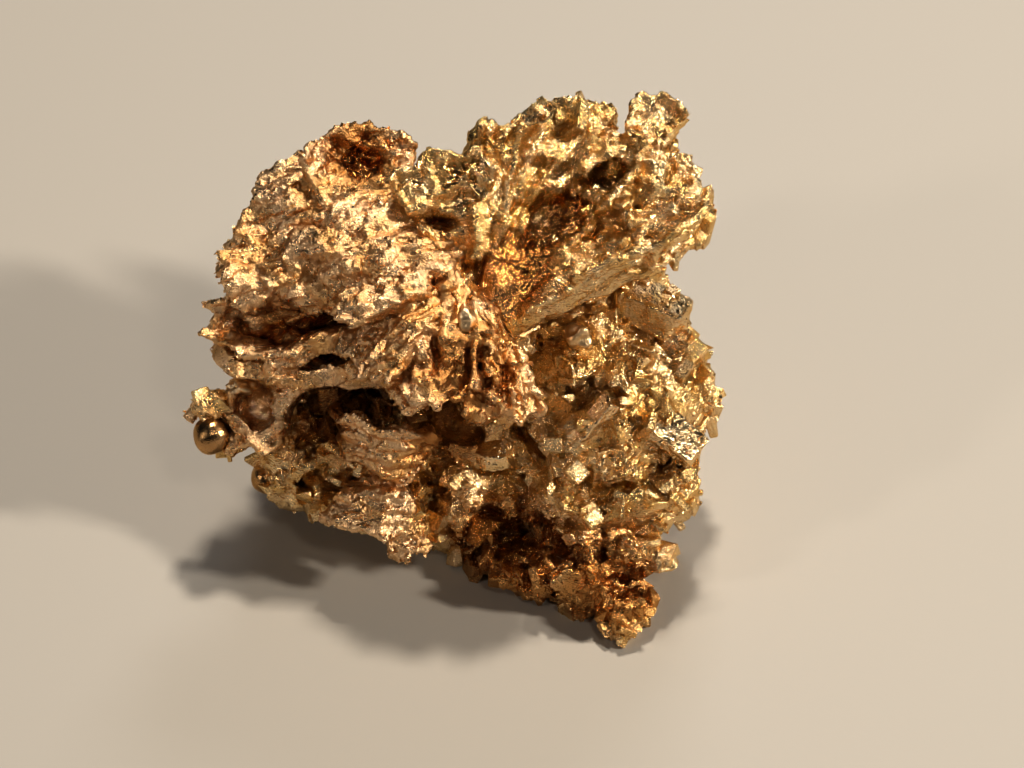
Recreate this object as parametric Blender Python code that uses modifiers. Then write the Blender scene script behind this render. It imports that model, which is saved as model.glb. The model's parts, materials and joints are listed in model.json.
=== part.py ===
"""A crystallised gold nugget, one solid: fans of leaf gold over a body of grown-together crystals.

Metres, +Z up. The nugget stands on its rough underside, and its front faces -Y.
Places are given as the nugget is seen from above its front, in millimetres from its heart:
(right, up, near), where near comes towards the eye.
"""

import math
import random

import bmesh
import bpy
from mathutils import Matrix, Vector, noise

MM = 0.001

# Driving dimensions
VIEW_TILT = math.radians(40)  # how far the seen directions lean back from upright
HEART_HEIGHT = 10.2 * MM  # the heart's height over the surface that the nugget stands on
LEAF_THICKNESS = 0.8  # of most leaves, in millimetres
LEAF_RIPPLE = 0.6  # how far a leaf's face wanders, in millimetres
RIPPLE_LENGTH = 1.7  # from one ripple to the next, in millimetres
RIM_RAGGED = 0.16  # how far a leaf's rim wanders, as a share of its length
CRYSTAL_SIZES = (0.45, 1.1)  # radius of the crystals, in millimetres
CRYSTAL_SINK = 0.25  # how far a crystal sits in the gold, as a share of its radius
GRAIN = 0.14 * MM  # the finest step of the joined surface
TRIANGLE_SHARE = 0.0205  # of the joined surface's triangles, the share that is kept

GOLD_COLOUR = (0.86, 0.56, 0.22, 1.0)

# The grown-together lumps that carry everything: place, radii and how rough each one is.
LUMPS = {
    "core": dict(at=(1.5, -1.2, -4.4), radii=(6.2, 6.0, 5.4), rough=0.16),
    "heart": dict(at=(1.2, 2.6, 0.2), radii=(3.6, 3.2, 3.6), rough=0.20),
    "right_body": dict(at=(7.8, -2.0, -2.6), radii=(5.0, 5.2, 5.0), rough=0.14),
    "right_low": dict(at=(7.9, -5.9, -1.8), radii=(4.4, 3.1, 3.9), rough=0.16),
    "toe": dict(at=(6.9, -9.8, -0.9), radii=(2.3, 2.2, 2.3), rough=0.24),
    "toe_tip": dict(at=(8.5, -12.1, 0.0), radii=(1.3, 1.0, 1.2), rough=0.22),
    "toe_side": dict(at=(9.2, -9.4, 0.2), radii=(1.5, 0.8, 1.3), rough=0.25),
    "toe_inner": dict(at=(4.8, -9.8, -1.6), radii=(1.9, 1.5, 2.0), rough=0.25),
    "belly": dict(at=(1.0, -6.8, -3.4), radii=(3.7, 2.7, 3.6), rough=0.22),
    "left_body": dict(at=(-3.6, -5.2, -2.9), radii=(4.2, 2.8, 3.5), rough=0.20),
    "left_edge": dict(at=(-7.1, -4.9, -2.8), radii=(2.6, 2.4, 2.4), rough=0.22),
    "left_low": dict(at=(-3.8, -6.9, -1.0), radii=(2.1, 1.4, 1.9), rough=0.22),
    "left_shoulder": dict(at=(-4.2, 1.9, -3.4), radii=(4.4, 3.6, 3.2), rough=0.18),
    "right_shoulder": dict(at=(6.6, 4.2, -2.4), radii=(4.0, 3.8, 3.4), rough=0.18),
    "crown": dict(at=(6.2, 11.1, 0.6), radii=(2.2, 1.9, 1.6), rough=0.26),
    "crown_right": dict(at=(9.6, 9.2, 1.2), radii=(1.8, 1.7, 1.5), rough=0.26),
    "wing_tip": dict(at=(10.9, 7.0, 3.2), radii=(1.5, 1.2, 1.2), rough=0.22),
    "wing_fold": dict(at=(8.2, 8.6, 2.8), radii=(1.7, 1.0, 1.1), rough=0.26),
    "saddle": dict(at=(2.2, 8.6, 1.4), radii=(1.9, 2.0, 1.4), rough=0.26),
    "curl_end": dict(at=(-11.9, -2.0, 0.2), radii=(0.95, 0.7, 0.9), rough=0.25),
    "back": dict(at=(2.6, 2.6, -7.6), radii=(5.0, 4.2, 4.0), rough=0.20),
    "back_foot": dict(at=(3.0, -1.8, -10.6), radii=(2.8, 2.2, 2.4), rough=0.25),
    "back_left_foot": dict(at=(-4.6, -3.2, -8.6), radii=(3.0, 2.4, 2.7), rough=0.25),
}

# Small round beads of gold: place and radius.
BEADS = {
    "left_bead": dict(at=(-11.9, -3.5, 0.2), radius=0.9),
    "low_bead": dict(at=(-9.3, -5.7, -2.6), radius=0.8),
    "heart_bead": dict(at=(0.9, 2.3, 4.9), radius=0.9),
    "neck_bead": dict(at=(-10.7, -2.8, -0.6), radius=1.0),
}

# Leaves of gold. Each spreads like a fan from its root to its tip and faces one way.
# spread is the fan's angle in degrees, root_width its width at the root, bow how far the tip
# curls towards the side that it faces and cup how far its edges do, as shares of its length.
LEAVES = {
    # The wing on the left
    "left_wing": dict(root=(0.4, 4.4, 3.0), tip=(-10.4, 8.1, 1.0), facing=(-0.3, 0.3, 0.9),
                      spread=48, root_width=2.2, bow=-0.06, cup=-0.10, thick=1.0),
    "left_wing_over": dict(root=(0.0, 4.0, 4.0), tip=(-7.2, 6.2, 2.6), facing=(-0.2, 0.3, 0.9),
                           spread=32, root_width=2.0, bow=-0.06, cup=-0.08),
    "left_wing_edge": dict(root=(-2.0, 3.8, 2.4), tip=(-10.9, 4.9, 1.6), facing=(-0.2, 0.4, 0.9),
                           spread=15, root_width=1.8, bow=0.04, cup=-0.12),
    "top_lobe": dict(root=(-2.6, 6.2, 1.0), tip=(-4.9, 11.0, -0.2), facing=(0.1, 0.4, 0.9),
                     spread=38, root_width=2.0, bow=0.12, cup=0.25, thick=0.9),
    "pocket_wall": dict(root=(-2.0, 2.2, 0.4), tip=(-12.7, 2.1, -0.2), facing=(-0.1, -0.3, 0.9),
                        spread=13, root_width=2.6, bow=0.06, cup=0.30),
    "pocket_floor": dict(root=(-0.6, 0.8, 3.4), tip=(-11.2, 0.5, 1.0), facing=(0.0, 0.85, 0.5),
                         spread=16, root_width=1.6, bow=0.10, cup=0.10),
    "pocket_under": dict(root=(-0.4, -0.1, 3.4), tip=(-9.0, -1.7, 1.0), facing=(-0.1, 0.85, 0.5),
                         spread=20, root_width=1.4, bow=0.10, cup=0.06),
    "curl": dict(root=(-7.0, -1.2, 0.2), tip=(-10.8, -3.8, 0.4), facing=(0.2, 0.3, 0.9),
                 spread=52, root_width=1.6, bow=0.30, cup=0.40),
    # The blades and plates that hang in front of the heart
    "front_plate": dict(root=(0.8, 4.0, 3.8), tip=(-5.0, 0.2, 3.8), facing=(-0.25, 0.2, 0.95),
                        spread=50, root_width=1.2, bow=-0.06, cup=-0.06),
    "front_blade": dict(root=(0.4, 4.0, 4.6), tip=(-5.6, 2.5, 4.7), facing=(-0.1, 0.5, 0.85),
                        spread=15, root_width=0.8, bow=-0.04, cup=0.0, thick=0.7),
    "front_blade_low": dict(root=(0.2, 3.2, 4.7), tip=(-3.9, -0.6, 5.2), facing=(-0.5, 0.5, 0.75),
                            spread=20, root_width=0.8, bow=-0.04, cup=0.0, thick=0.7),
    "skirt_left": dict(root=(0.8, 3.0, 4.2), tip=(-1.4, -1.9, 5.2), facing=(-0.3, -0.1, 0.95),
                       spread=34, root_width=1.0, bow=0.05, cup=-0.10),
    "skirt_middle": dict(root=(1.4, 3.0, 4.2), tip=(1.9, -2.2, 5.4), facing=(0.9, 0.0, 0.4),
                         spread=26, root_width=1.2, bow=0.05, cup=0.0),
    "skirt_right": dict(root=(2.0, 1.6, 3.4), tip=(2.6, -3.0, 4.6), facing=(0.3, 0.3, 0.9),
                        spread=40, root_width=1.2, bow=0.05, cup=0.08),
    # The flutes between the wings, and the plate over them
    "middle_plate": dict(root=(0.4, 5.4, 2.6), tip=(-0.3, 10.5, 2.6), facing=(-0.1, 0.5, 0.85),
                         spread=54, root_width=1.8, bow=0.14, cup=0.14),
    "flute_left": dict(root=(1.2, 5.0, 3.4), tip=(2.5, 11.3, 2.0), facing=(-0.9, 0.1, 0.4),
                       spread=24, root_width=1.4, bow=0.03, cup=0.0),
    "flute_right": dict(root=(2.4, 5.0, 3.0), tip=(3.8, 11.9, 1.6), facing=(0.9, -0.2, 0.4),
                        spread=24, root_width=1.4, bow=0.03, cup=0.0),
    # The wing on the right
    "right_wing": dict(root=(2.2, 2.8, 3.4), tip=(7.6, 11.6, 1.4), facing=(-0.3, -0.1, 0.95),
                       spread=32, root_width=1.8, bow=0.04, cup=0.26, thick=1.0),
    "right_wing_over": dict(root=(4.8, 6.6, 2.0), tip=(9.8, 9.8, 3.2), facing=(-0.2, 0.3, 0.9),
                            spread=34, root_width=1.6, bow=0.08, cup=-0.12),
    "right_wing_rim": dict(root=(2.8, 2.0, 3.6), tip=(12.1, 7.2, 3.4), facing=(-0.25, 0.6, 0.75),
                           spread=20, root_width=1.8, bow=0.10, cup=0.14, thick=1.0),
    "right_wing_under": dict(root=(4.0, 2.6, 2.0), tip=(11.0, 5.6, 2.0), facing=(-0.2, 0.7, 0.6),
                             spread=22, root_width=1.6, bow=0.05, cup=0.05),
    "corner_leaf": dict(root=(9.4, 9.4, 1.2), tip=(10.7, 13.2, 0.8), facing=(-0.2, 0.1, 0.95),
                        spread=34, root_width=1.2, bow=0.08, cup=0.10),
    # Shells of leaf on the lower left
    "left_shell": dict(root=(-3.2, -5.6, -0.4), tip=(-3.7, -2.6, 2.8), facing=(-0.1, 0.35, 0.9),
                       spread=70, root_width=1.6, bow=0.10, cup=-0.20),
    "low_shell": dict(root=(-3.4, -5.6, 0.2), tip=(-3.8, -8.8, 1.0), facing=(-0.1, -0.1, 0.95),
                      spread=72, root_width=1.8, bow=0.05, cup=-0.20),
    "low_flake": dict(root=(-2.8, -7.4, -0.4), tip=(-1.9, -9.9, 0.2), facing=(0.2, 0.0, 0.95),
                      spread=34, root_width=0.8, bow=0.05, cup=0.0),
    # Leaves round the back
    "back_wing": dict(root=(1.0, 3.8, -6.0), tip=(-5.4, 8.0, -8.4), facing=(-0.2, 0.3, -0.9),
                      spread=52, root_width=2.4, bow=0.08, cup=0.10, thick=1.0),
    "back_fin": dict(root=(3.0, 4.4, -6.4), tip=(7.8, 9.4, -6.4), facing=(0.3, 0.2, -0.9),
                     spread=52, root_width=2.2, bow=0.08, cup=0.12, thick=1.0),
    "back_ridge": dict(root=(2.0, 4.0, -7.0), tip=(1.8, 7.4, -10.6), facing=(0.8, 0.4, 0.3),
                       spread=44, root_width=2.0, bow=0.05, cup=0.10),
    "back_left": dict(root=(-3.6, 1.6, -5.4), tip=(-9.0, 4.4, -6.8), facing=(-0.3, 0.5, -0.7),
                      spread=48, root_width=2.0, bow=0.06, cup=0.12),
    "back_right": dict(root=(6.8, 2.0, -5.0), tip=(11.2, 5.0, -5.8), facing=(0.4, 0.4, -0.7),
                       spread=46, root_width=2.0, bow=0.06, cup=0.12),
}

# Single crystals that stand out: place, size along three edges, the way the first edge runs, the
# way that the third faces, and how many sides it has.
LARGE_CRYSTALS = {
    "right_block": dict(at=(10.1, 2.7, 0.9), size=(3.4, 2.6, 1.7), along=(0.86, -0.42, 0.1),
                        facing=(0.3, 0.85, 0.45), sides=4),
    "right_scale": dict(at=(11.0, -3.5, 0.9), size=(3.2, 2.2, 0.7), along=(0.8, -0.6, 0.0),
                        facing=(0.45, 0.5, 0.75), sides=4),
    "body_blade": dict(at=(7.2, -2.8, 2.5), size=(2.6, 1.0, 0.8), along=(0.62, 0.72, 0.3),
                       facing=(-0.2, -0.1, 0.95), sides=4),
    "six_sided_plate": dict(at=(2.2, -4.5, 1.4), size=(1.6, 1.6, 1.2), along=(0.9, 0.2, 0.0),
                            facing=(-0.2, 0.3, 0.9), sides=6),
    "body_crystal": dict(at=(6.4, 1.5, 1.9), size=(1.5, 1.3, 1.3), along=(0.7, 0.7, 0.0),
                         facing=(-0.1, 0.5, 0.85), sides=4),
}

# The crystals that stand on the lumps and leaves: which one, how many, and on which side of it.
CRYSTAL_BEDS = (
    ("right_body", 46, (0.5, 0.2, 0.7)),
    ("right_body", 14, (0.8, -0.1, -0.6)),
    ("right_low", 30, (0.5, -0.2, 0.7)),
    ("right_low", 12, (0.7, -0.3, -0.6)),
    ("toe", 12, (0.1, -0.2, 0.8)),
    ("toe", 5, (0.6, -0.5, -0.5)),
    ("toe_tip", 6, (0.2, 0.0, 0.8)),
    ("toe_side", 5, (0.4, 0.0, 0.8)),
    ("toe_inner", 6, (-0.2, -0.2, 0.8)),
    ("belly", 14, (0.1, -0.1, 0.9)),
    ("left_body", 18, (-0.3, -0.1, 0.8)),
    ("left_body", 8, (-0.6, -0.2, -0.6)),
    ("left_edge", 12, (-0.5, -0.4, 0.6)),
    ("left_low", 6, (-0.2, -0.2, 0.8)),
    ("right_shoulder", 14, (0.8, 0.4, -0.2)),
    ("left_shoulder", 14, (-0.5, 0.4, -0.6)),
    ("core", 18, (0.0, -0.4, -0.4)),
    ("core", 12, (-0.6, 0.1, -0.7)),
    ("back", 30, (0.1, 0.3, -0.9)),
    ("back_foot", 8, (0.2, 0.1, -0.8)),
    ("back_left_foot", 10, (-0.6, 0.0, -0.6)),
    ("heart", 10, (0.0, 0.2, 0.9)),
    ("crown", 16, (0.0, 0.5, 0.7)),
    ("crown", 6, (0.1, 0.3, -0.9)),
    ("crown_right", 9, (0.2, 0.3, 0.7)),
    ("crown_right", 5, (0.2, 0.0, -0.9)),
    ("wing_tip", 7, (0.1, 0.3, 0.8)),
    ("wing_fold", 5, (0.0, 0.2, 0.8)),
    ("saddle", 9, (0.0, 0.3, 0.8)),
    ("back_wing", 7, (-0.4, 0.6, -0.6)),
    ("back_fin", 7, (0.4, 0.6, -0.6)),
)


def seen_direction(right, up, near):
    """A direction as it is seen, in the part's frame."""
    back = up * math.sin(VIEW_TILT) - near * math.cos(VIEW_TILT)
    height = up * math.cos(VIEW_TILT) + near * math.sin(VIEW_TILT)
    return Vector((right, back, height))


def seen(right, up, near):
    """A place as it is seen, in millimetres from the heart, in metres in the part's frame."""
    return seen_direction(right, up, near) * MM + Vector((0, 0, HEART_HEIGHT))


def clear_scene():
    for thing in list(bpy.data.objects):
        bpy.data.objects.remove(thing, do_unlink=True)


def new_collection(name):
    collection = bpy.data.collections.new(name)
    bpy.context.scene.collection.children.link(collection)
    return collection


def new_helper(name, shape, collection):
    """A closed shape that only helps to make the nugget: a growth to join, or a cutter."""
    bmesh.ops.recalc_face_normals(shape, faces=shape.faces)
    mesh = bpy.data.meshes.new(name)
    shape.to_mesh(mesh)
    shape.free()
    helper = bpy.data.objects.new(name, mesh)
    helper.hide_render = True
    helper.display_type = "WIRE"
    collection.objects.link(helper)
    return helper


def add_lump(name, at, radii, rough, growths):
    """A ball of gold, drawn out along the seen directions and made craggy."""
    shape = bmesh.new()
    bmesh.ops.create_icosphere(shape, subdivisions=3, radius=1.0)
    phase = Vector(at)
    for vert in shape.verts:
        ball = vert.co.copy()
        swell = noise.noise(ball * 1.3 + phase) + 0.7 * noise.noise(ball * 3.1 + phase)
        grown = ball * (1 + rough * swell)
        vert.co = seen(*(a + b * c for a, b, c in zip(at, grown, radii)))
    return new_helper(name, shape, growths)


def add_bead(name, at, radius, growths):
    shape = bmesh.new()
    bmesh.ops.create_icosphere(shape, subdivisions=2, radius=radius * MM)
    bmesh.ops.translate(shape, verts=shape.verts, vec=seen(*at))
    return new_helper(name, shape, growths)


def add_leaf(name, root, tip, facing, spread, root_width, bow, cup, growths,
             thick=LEAF_THICKNESS, along=7, across=9):
    """A leaf of gold: a grid that fans out from its root to a ragged rim, then gets its thickness."""
    start = seen(*root)
    growing = seen(*tip) - start
    length = growing.length
    growing.normalize()
    outward = seen_direction(*facing)
    outward -= growing * outward.dot(growing)
    outward.normalize()
    sideways = outward.cross(growing)
    half_angle = math.radians(spread) / 2
    phase = Vector(tip)

    shape = bmesh.new()
    bmesh.ops.create_grid(shape, x_segments=along, y_segments=across, size=0.5)
    for vert in shape.verts:
        share = vert.co.x + 0.5  # from 0 at the root to 1 at the rim
        side = vert.co.y * 2  # from -1 to 1 across the leaf
        ragged = 1 - 0.12 * side * side + RIM_RAGGED * noise.noise(Vector((side * 3.1, 0, 0)) + phase)
        reach = share * length * ragged
        angle = side * half_angle * (1 + 0.2 * noise.noise(Vector((share * 3, side, 0)) + phase))
        flat = (
            start
            + sideways * side * root_width * MM / 2
            + growing * math.cos(angle) * reach
            + sideways * math.sin(angle) * reach
        )
        ripple = LEAF_RIPPLE * MM * noise.noise(flat / MM / RIPPLE_LENGTH)
        vert.co = flat + outward * (length * share * (bow * share + cup * side * side) + ripple)
    leaf = new_helper(name, shape, growths)
    solid = leaf.modifiers.new("thickness", "SOLIDIFY")
    solid.thickness = thick * MM
    solid.offset = 0
    return leaf


def add_large_crystal(name, at, size, along, facing, sides, growths):
    """One straight-sided crystal, a block or a plate, turned to lie along one way and face another."""
    lengthways = seen_direction(*along).normalized()
    outward = seen_direction(*facing)
    outward -= lengthways * outward.dot(lengthways)
    outward.normalize()
    across = outward.cross(lengthways)
    shape = bmesh.new()
    corner = 0.5 / math.cos(math.pi / sides)  # so that its flat sides are 1 apart
    bmesh.ops.create_cone(shape, cap_ends=True, segments=sides, radius1=corner, radius2=corner,
                          depth=1.0)
    bmesh.ops.rotate(shape, matrix=Matrix.Rotation(math.pi / sides, 3, "Z"), verts=shape.verts)
    place = seen(*at)
    for vert in shape.verts:
        a, b, c = (share * edge * MM for share, edge in zip(vert.co, size))
        vert.co = place + lengthways * a + across * b + outward * c
    return new_helper(name, shape, growths)


def crystal_shape(kind, radius):
    """A small crystal of gold: an octahedron, a cube or a six-sided plate."""
    shape = bmesh.new()
    size = radius * MM
    if kind == "octahedron":
        bmesh.ops.create_uvsphere(shape, u_segments=4, v_segments=2, radius=size)
    elif kind == "cube":
        bmesh.ops.create_cube(shape, size=size * 1.5)
    else:
        bmesh.ops.create_cone(shape, cap_ends=True, segments=6, radius1=size * 1.15,
                              radius2=size * 1.15, depth=size * 0.8)
    return shape


def add_crystal_bed(number, host, count, towards, growths):
    """Crystals that stand on one lump or leaf, partly sunk in it, on the side that faces one way."""
    chance = random.Random(number)
    shown = seen_direction(*towards).normalized()
    surface = growths.objects[host].data
    middle = sum((vert.co for vert in surface.vertices), Vector()) / len(surface.vertices)
    reach = max(shown.dot(vert.co - middle) for vert in surface.vertices)
    near_side = [vert for vert in surface.vertices if shown.dot(vert.co - middle) > reach * 0.15]
    for vert in chance.choices(near_side, k=count):
        radius = chance.uniform(*CRYSTAL_SIZES)
        kind = chance.choice(("octahedron", "octahedron", "cube", "plate"))
        shape = crystal_shape(kind, radius)
        turn = Matrix.Rotation(chance.uniform(0, math.tau), 4, "Z")
        lean = Matrix.Rotation(chance.uniform(0, math.pi), 4, vert.normal)
        place = vert.co - vert.normal * radius * MM * CRYSTAL_SINK
        bmesh.ops.transform(shape, matrix=Matrix.Translation(place) @ lean @ turn,
                            verts=shape.verts)
        new_helper(f"{host}_crystal", shape, growths)


def add_ground_cutter(cutters):
    """A slab that trims the underside flat where the nugget touches the surface."""
    depth = 20 * MM
    shape = bmesh.new()
    bmesh.ops.create_cube(shape, size=1.0)
    bmesh.ops.scale(shape, vec=(80 * MM, 80 * MM, depth), verts=shape.verts)
    bmesh.ops.translate(shape, vec=(0, 0, -depth / 2), verts=shape.verts)
    return new_helper("ground", shape, cutters)


def gold_material():
    material = bpy.data.materials.new("gold")
    material.use_nodes = True
    shader = material.node_tree.nodes["Principled BSDF"]
    shader.inputs["Base Color"].default_value = GOLD_COLOUR
    shader.inputs["Metallic"].default_value = 1.0
    shader.inputs["Roughness"].default_value = 0.3
    material.diffuse_color = GOLD_COLOUR
    return material


def evaluated_mesh(thing):
    graph = bpy.context.evaluated_depsgraph_get()
    return bpy.data.meshes.new_from_object(thing.evaluated_get(graph))


def settle_modifiers(thing):
    """Put what the modifiers make in the place of the object's mesh."""
    bpy.context.view_layer.update()
    made = evaluated_mesh(thing)
    thing.modifiers.clear()
    thing.data = made
    return made


def join_growths(growths):
    """All growths in one mesh. They still pass through each other."""
    together = bmesh.new()
    bpy.context.view_layer.update()
    for growth in growths.objects:
        together.from_mesh(evaluated_mesh(growth))
    mesh = bpy.data.meshes.new("nugget")
    together.to_mesh(mesh)
    together.free()
    return mesh


def keep_largest_body(mesh):
    """Drop the specks that hang together with nothing else."""
    shape = bmesh.new()
    shape.from_mesh(mesh)
    unseen = set(shape.verts)
    bodies = []
    while unseen:
        body = {unseen.pop()}
        fresh = list(body)
        while fresh:
            for edge in fresh.pop().link_edges:
                for vert in edge.verts:
                    if vert in unseen:
                        unseen.remove(vert)
                        body.add(vert)
                        fresh.append(vert)
        bodies.append(body)
    bodies.sort(key=len)
    for speck in bodies[:-1]:
        bmesh.ops.delete(shape, geom=list(speck), context="VERTS")
    shape.to_mesh(mesh)
    shape.free()


def grow_nugget():
    nugget_parts = new_collection("gold_nugget")
    growths = new_collection("growths")
    cutters = new_collection("cutters")

    for name, lump in LUMPS.items():
        add_lump(name, growths=growths, **lump)
    for name, bead in BEADS.items():
        add_bead(name, growths=growths, **bead)
    for name, leaf in LEAVES.items():
        add_leaf(name, growths=growths, **leaf)
    for name, crystal in LARGE_CRYSTALS.items():
        add_large_crystal(name, growths=growths, **crystal)
    for number, bed in enumerate(CRYSTAL_BEDS):
        add_crystal_bed(number, *bed, growths)

    # One skin round everything
    nugget = bpy.data.objects.new("nugget", join_growths(growths))
    nugget_parts.objects.link(nugget)
    skin = nugget.modifiers.new("one_skin", "REMESH")
    skin.mode = "VOXEL"
    skin.voxel_size = GRAIN
    keep_largest_body(settle_modifiers(nugget))

    # The skin in flat facets, trimmed flat underneath
    facets = nugget.modifiers.new("facets", "DECIMATE")
    facets.ratio = TRIANGLE_SHARE
    trim = nugget.modifiers.new("underside", "BOOLEAN")
    trim.operation = "DIFFERENCE"
    trim.object = add_ground_cutter(cutters)
    grown = settle_modifiers(nugget)

    # Its middle over the frame's origin
    middle_x, middle_y = (
        (min(vert.co[axis] for vert in grown.vertices)
         + max(vert.co[axis] for vert in grown.vertices)) / 2
        for axis in (0, 1)
    )
    grown.transform(Matrix.Translation((-middle_x, -middle_y, 0)))
    grown.materials.clear()
    grown.materials.append(gold_material())


clear_scene()
grow_nugget()
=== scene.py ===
# Crystallised gold nugget: layered leaf gold over a body of grown-together crystals and sugary grain
import json
import math
import random
from dataclasses import dataclass

import bmesh
import bpy
import numpy as np
from mathutils import Matrix, Vector, noise

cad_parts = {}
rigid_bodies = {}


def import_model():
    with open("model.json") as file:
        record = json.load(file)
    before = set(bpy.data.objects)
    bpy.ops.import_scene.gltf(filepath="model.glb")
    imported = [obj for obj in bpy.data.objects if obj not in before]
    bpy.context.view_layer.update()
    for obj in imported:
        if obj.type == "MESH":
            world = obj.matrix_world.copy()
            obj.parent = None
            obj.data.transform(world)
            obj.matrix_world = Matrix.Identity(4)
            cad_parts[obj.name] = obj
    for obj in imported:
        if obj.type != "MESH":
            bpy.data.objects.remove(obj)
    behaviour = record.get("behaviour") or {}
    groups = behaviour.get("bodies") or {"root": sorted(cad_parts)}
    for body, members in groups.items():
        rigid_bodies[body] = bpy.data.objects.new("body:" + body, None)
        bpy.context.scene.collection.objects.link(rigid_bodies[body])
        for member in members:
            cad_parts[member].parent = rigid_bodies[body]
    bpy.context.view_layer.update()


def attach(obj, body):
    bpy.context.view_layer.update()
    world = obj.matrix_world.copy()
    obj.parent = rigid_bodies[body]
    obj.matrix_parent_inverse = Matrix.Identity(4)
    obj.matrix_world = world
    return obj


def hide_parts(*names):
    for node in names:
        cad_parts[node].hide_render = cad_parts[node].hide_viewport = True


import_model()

mm = 0.001
viewTilt = math.radians(40)  # the camera looks down by this much
middle = Vector((0.252, 1.920, 0)) * mm  # from the box's middle to where the leaves spring from
heart = Vector((0, 0, 10.2)) * mm - middle
scene = bpy.context.scene
noise.seed_set(1)  # noise_vector would start from the clock


# places as the camera sees them, in millimetres from the heart: right, up and near

def seenWay(right, up, near):
    back = up * math.sin(viewTilt) - near * math.cos(viewTilt)
    height = up * math.cos(viewTilt) + near * math.sin(viewTilt)
    return Vector((right, back, height))


def seen(right, up, near):
    return seenWay(right, up, near) * mm + heart


def asSeen(places):
    # many places at once, as rows
    away = (places - np.array(heart)) / mm
    up = away[:, 1] * math.sin(viewTilt) + away[:, 2] * math.cos(viewTilt)
    near = away[:, 2] * math.sin(viewTilt) - away[:, 1] * math.cos(viewTilt)
    return np.stack((away[:, 0], up, near), axis=1)


# small helpers

def newObject(name, shape):
    mesh = bpy.data.meshes.new(name)
    shape.to_mesh(mesh)
    shape.free()
    piece = bpy.data.objects.new(name, mesh)
    scene.collection.objects.link(piece)
    return piece


def settle(piece):
    # the mesh that the modifiers make, in place of the piece's own
    bpy.context.view_layer.update()
    graph = bpy.context.evaluated_depsgraph_get()
    made = bpy.data.meshes.new_from_object(piece.evaluated_get(graph))
    piece.modifiers.clear()
    piece.data = made


def rows(items, field="co"):
    # a value with three numbers of each item, one row each
    values = np.empty(len(items) * 3, dtype=np.float32)
    items.foreach_get(field, values)
    return values.reshape(-1, 3)


def markPoints(piece, name, shares):
    marks = piece.data.attributes.new(name, "FLOAT", "POINT")
    marks.data.foreach_set("value", shares.astype(np.float32))


def smooth(share):
    share = np.clip(share, 0, 1)
    return share * share * (3 - 2 * share)


def triangles(piece):
    return sum(len(face.vertices) - 2 for face in piece.data.polygons)


def thinTo(piece, most):
    now = triangles(piece)
    if now > most:
        fewer = piece.modifiers.new("fewer", "DECIMATE")
        fewer.ratio = most / now
        settle(piece)


def oneSkin(piece, step):
    # one closed skin over all that grew together
    skin = piece.modifiers.new("oneSkin", "REMESH")
    skin.mode = "VOXEL"
    skin.voxel_size = step * mm


def keepAbove(piece):
    # nothing reaches below the surface that the nugget rests on
    for vert in piece.data.vertices:
        vert.co.z = max(vert.co.z, 0.0)


def shade(piece, angle):
    piece.data.shade_smooth()
    piece.data.set_sharp_from_angle(angle=math.radians(angle))


def dress(piece, material):
    piece.data.materials.clear()
    piece.data.materials.append(material)
    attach(piece, "root")
    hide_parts("nugget")
    print(piece.name, triangles(piece))


# how the ground is around each place, and how far that reaches, in mm as seen

ground = {
    "crowded": (  # with crystals
        ((7.6, -2.5, 0.0), 6.8), ((7.2, -8.4, 0.0), 4.6), ((6.6, 11.0, 1.0), 3.4),
        ((9.9, 9.8, 1.6), 3.0), ((-4.2, -5.6, 0.0), 4.2), ((0.8, -6.8, -1.0), 3.6),
        ((7.8, 4.6, 3.6), 1.6), ((10.4, 5.6, 3.4), 1.9), ((11.8, 7.4, 2.8), 1.5)),
    "calm": (  # smooth, with little grain
        ((5.4, 7.2, 1.8), 3.1), ((3.3, 4.6, 3.2), 2.3), ((-6.4, 2.1, -0.8), 2.9),
        ((-8.8, 2.3, -0.8), 2.6), ((-9.6, -2.4, 0.0), 1.5), ((-4.3, 9.8, 0.4), 1.5),
        ((-0.6, 4.0, 3.2), 1.2), ((8.0, 9.2, 2.4), 1.7), ((0.7, 9.2, 3.4), 1.6)),
    "amber": (  # painted shade: deeper, darker colour where shade falls, in hollows, under overhangs, on the underside, the toe and the top lobe
        ((-7.0, 2.2, -0.4), 3.6), ((-4.4, 10.3, 0.4), 2.5), ((-0.6, 4.0, 3.2), 1.3),
        ((-0.4, 6.6, 2.6), 1.2), ((6.6, 7.2, 1.4), 2.2), ((3.6, 4.2, 3.2), 2.9),
        ((0.8, -0.4, 4.4), 3.1), ((-5.2, -2.4, -0.2), 3.0), ((0.0, -3.4, 1.6), 2.6),
        ((3.0, -9.6, -0.6), 4.2), ((7.8, -10.8, 0.4), 3.4)),
}
groundFade = 0.4  # share of the reach


def markGround(piece):
    places = asSeen(rows(piece.data.vertices))
    for name, spots in ground.items():
        share = np.zeros(len(places))
        for at, reach in spots:
            away = np.linalg.norm(places - np.array(at), axis=1) / reach
            share = np.maximum(share, smooth((1 - away) / groundFade))
        markPoints(piece, name, share)


# node trees that move a surface along its normals, layer by layer

def newTree(name):
    tree = bpy.data.node_groups.new(name, "GeometryNodeTree")
    for way in ("INPUT", "OUTPUT"):
        tree.interface.new_socket("Geometry", in_out=way, socket_type="NodeSocketGeometry")
    return tree


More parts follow.
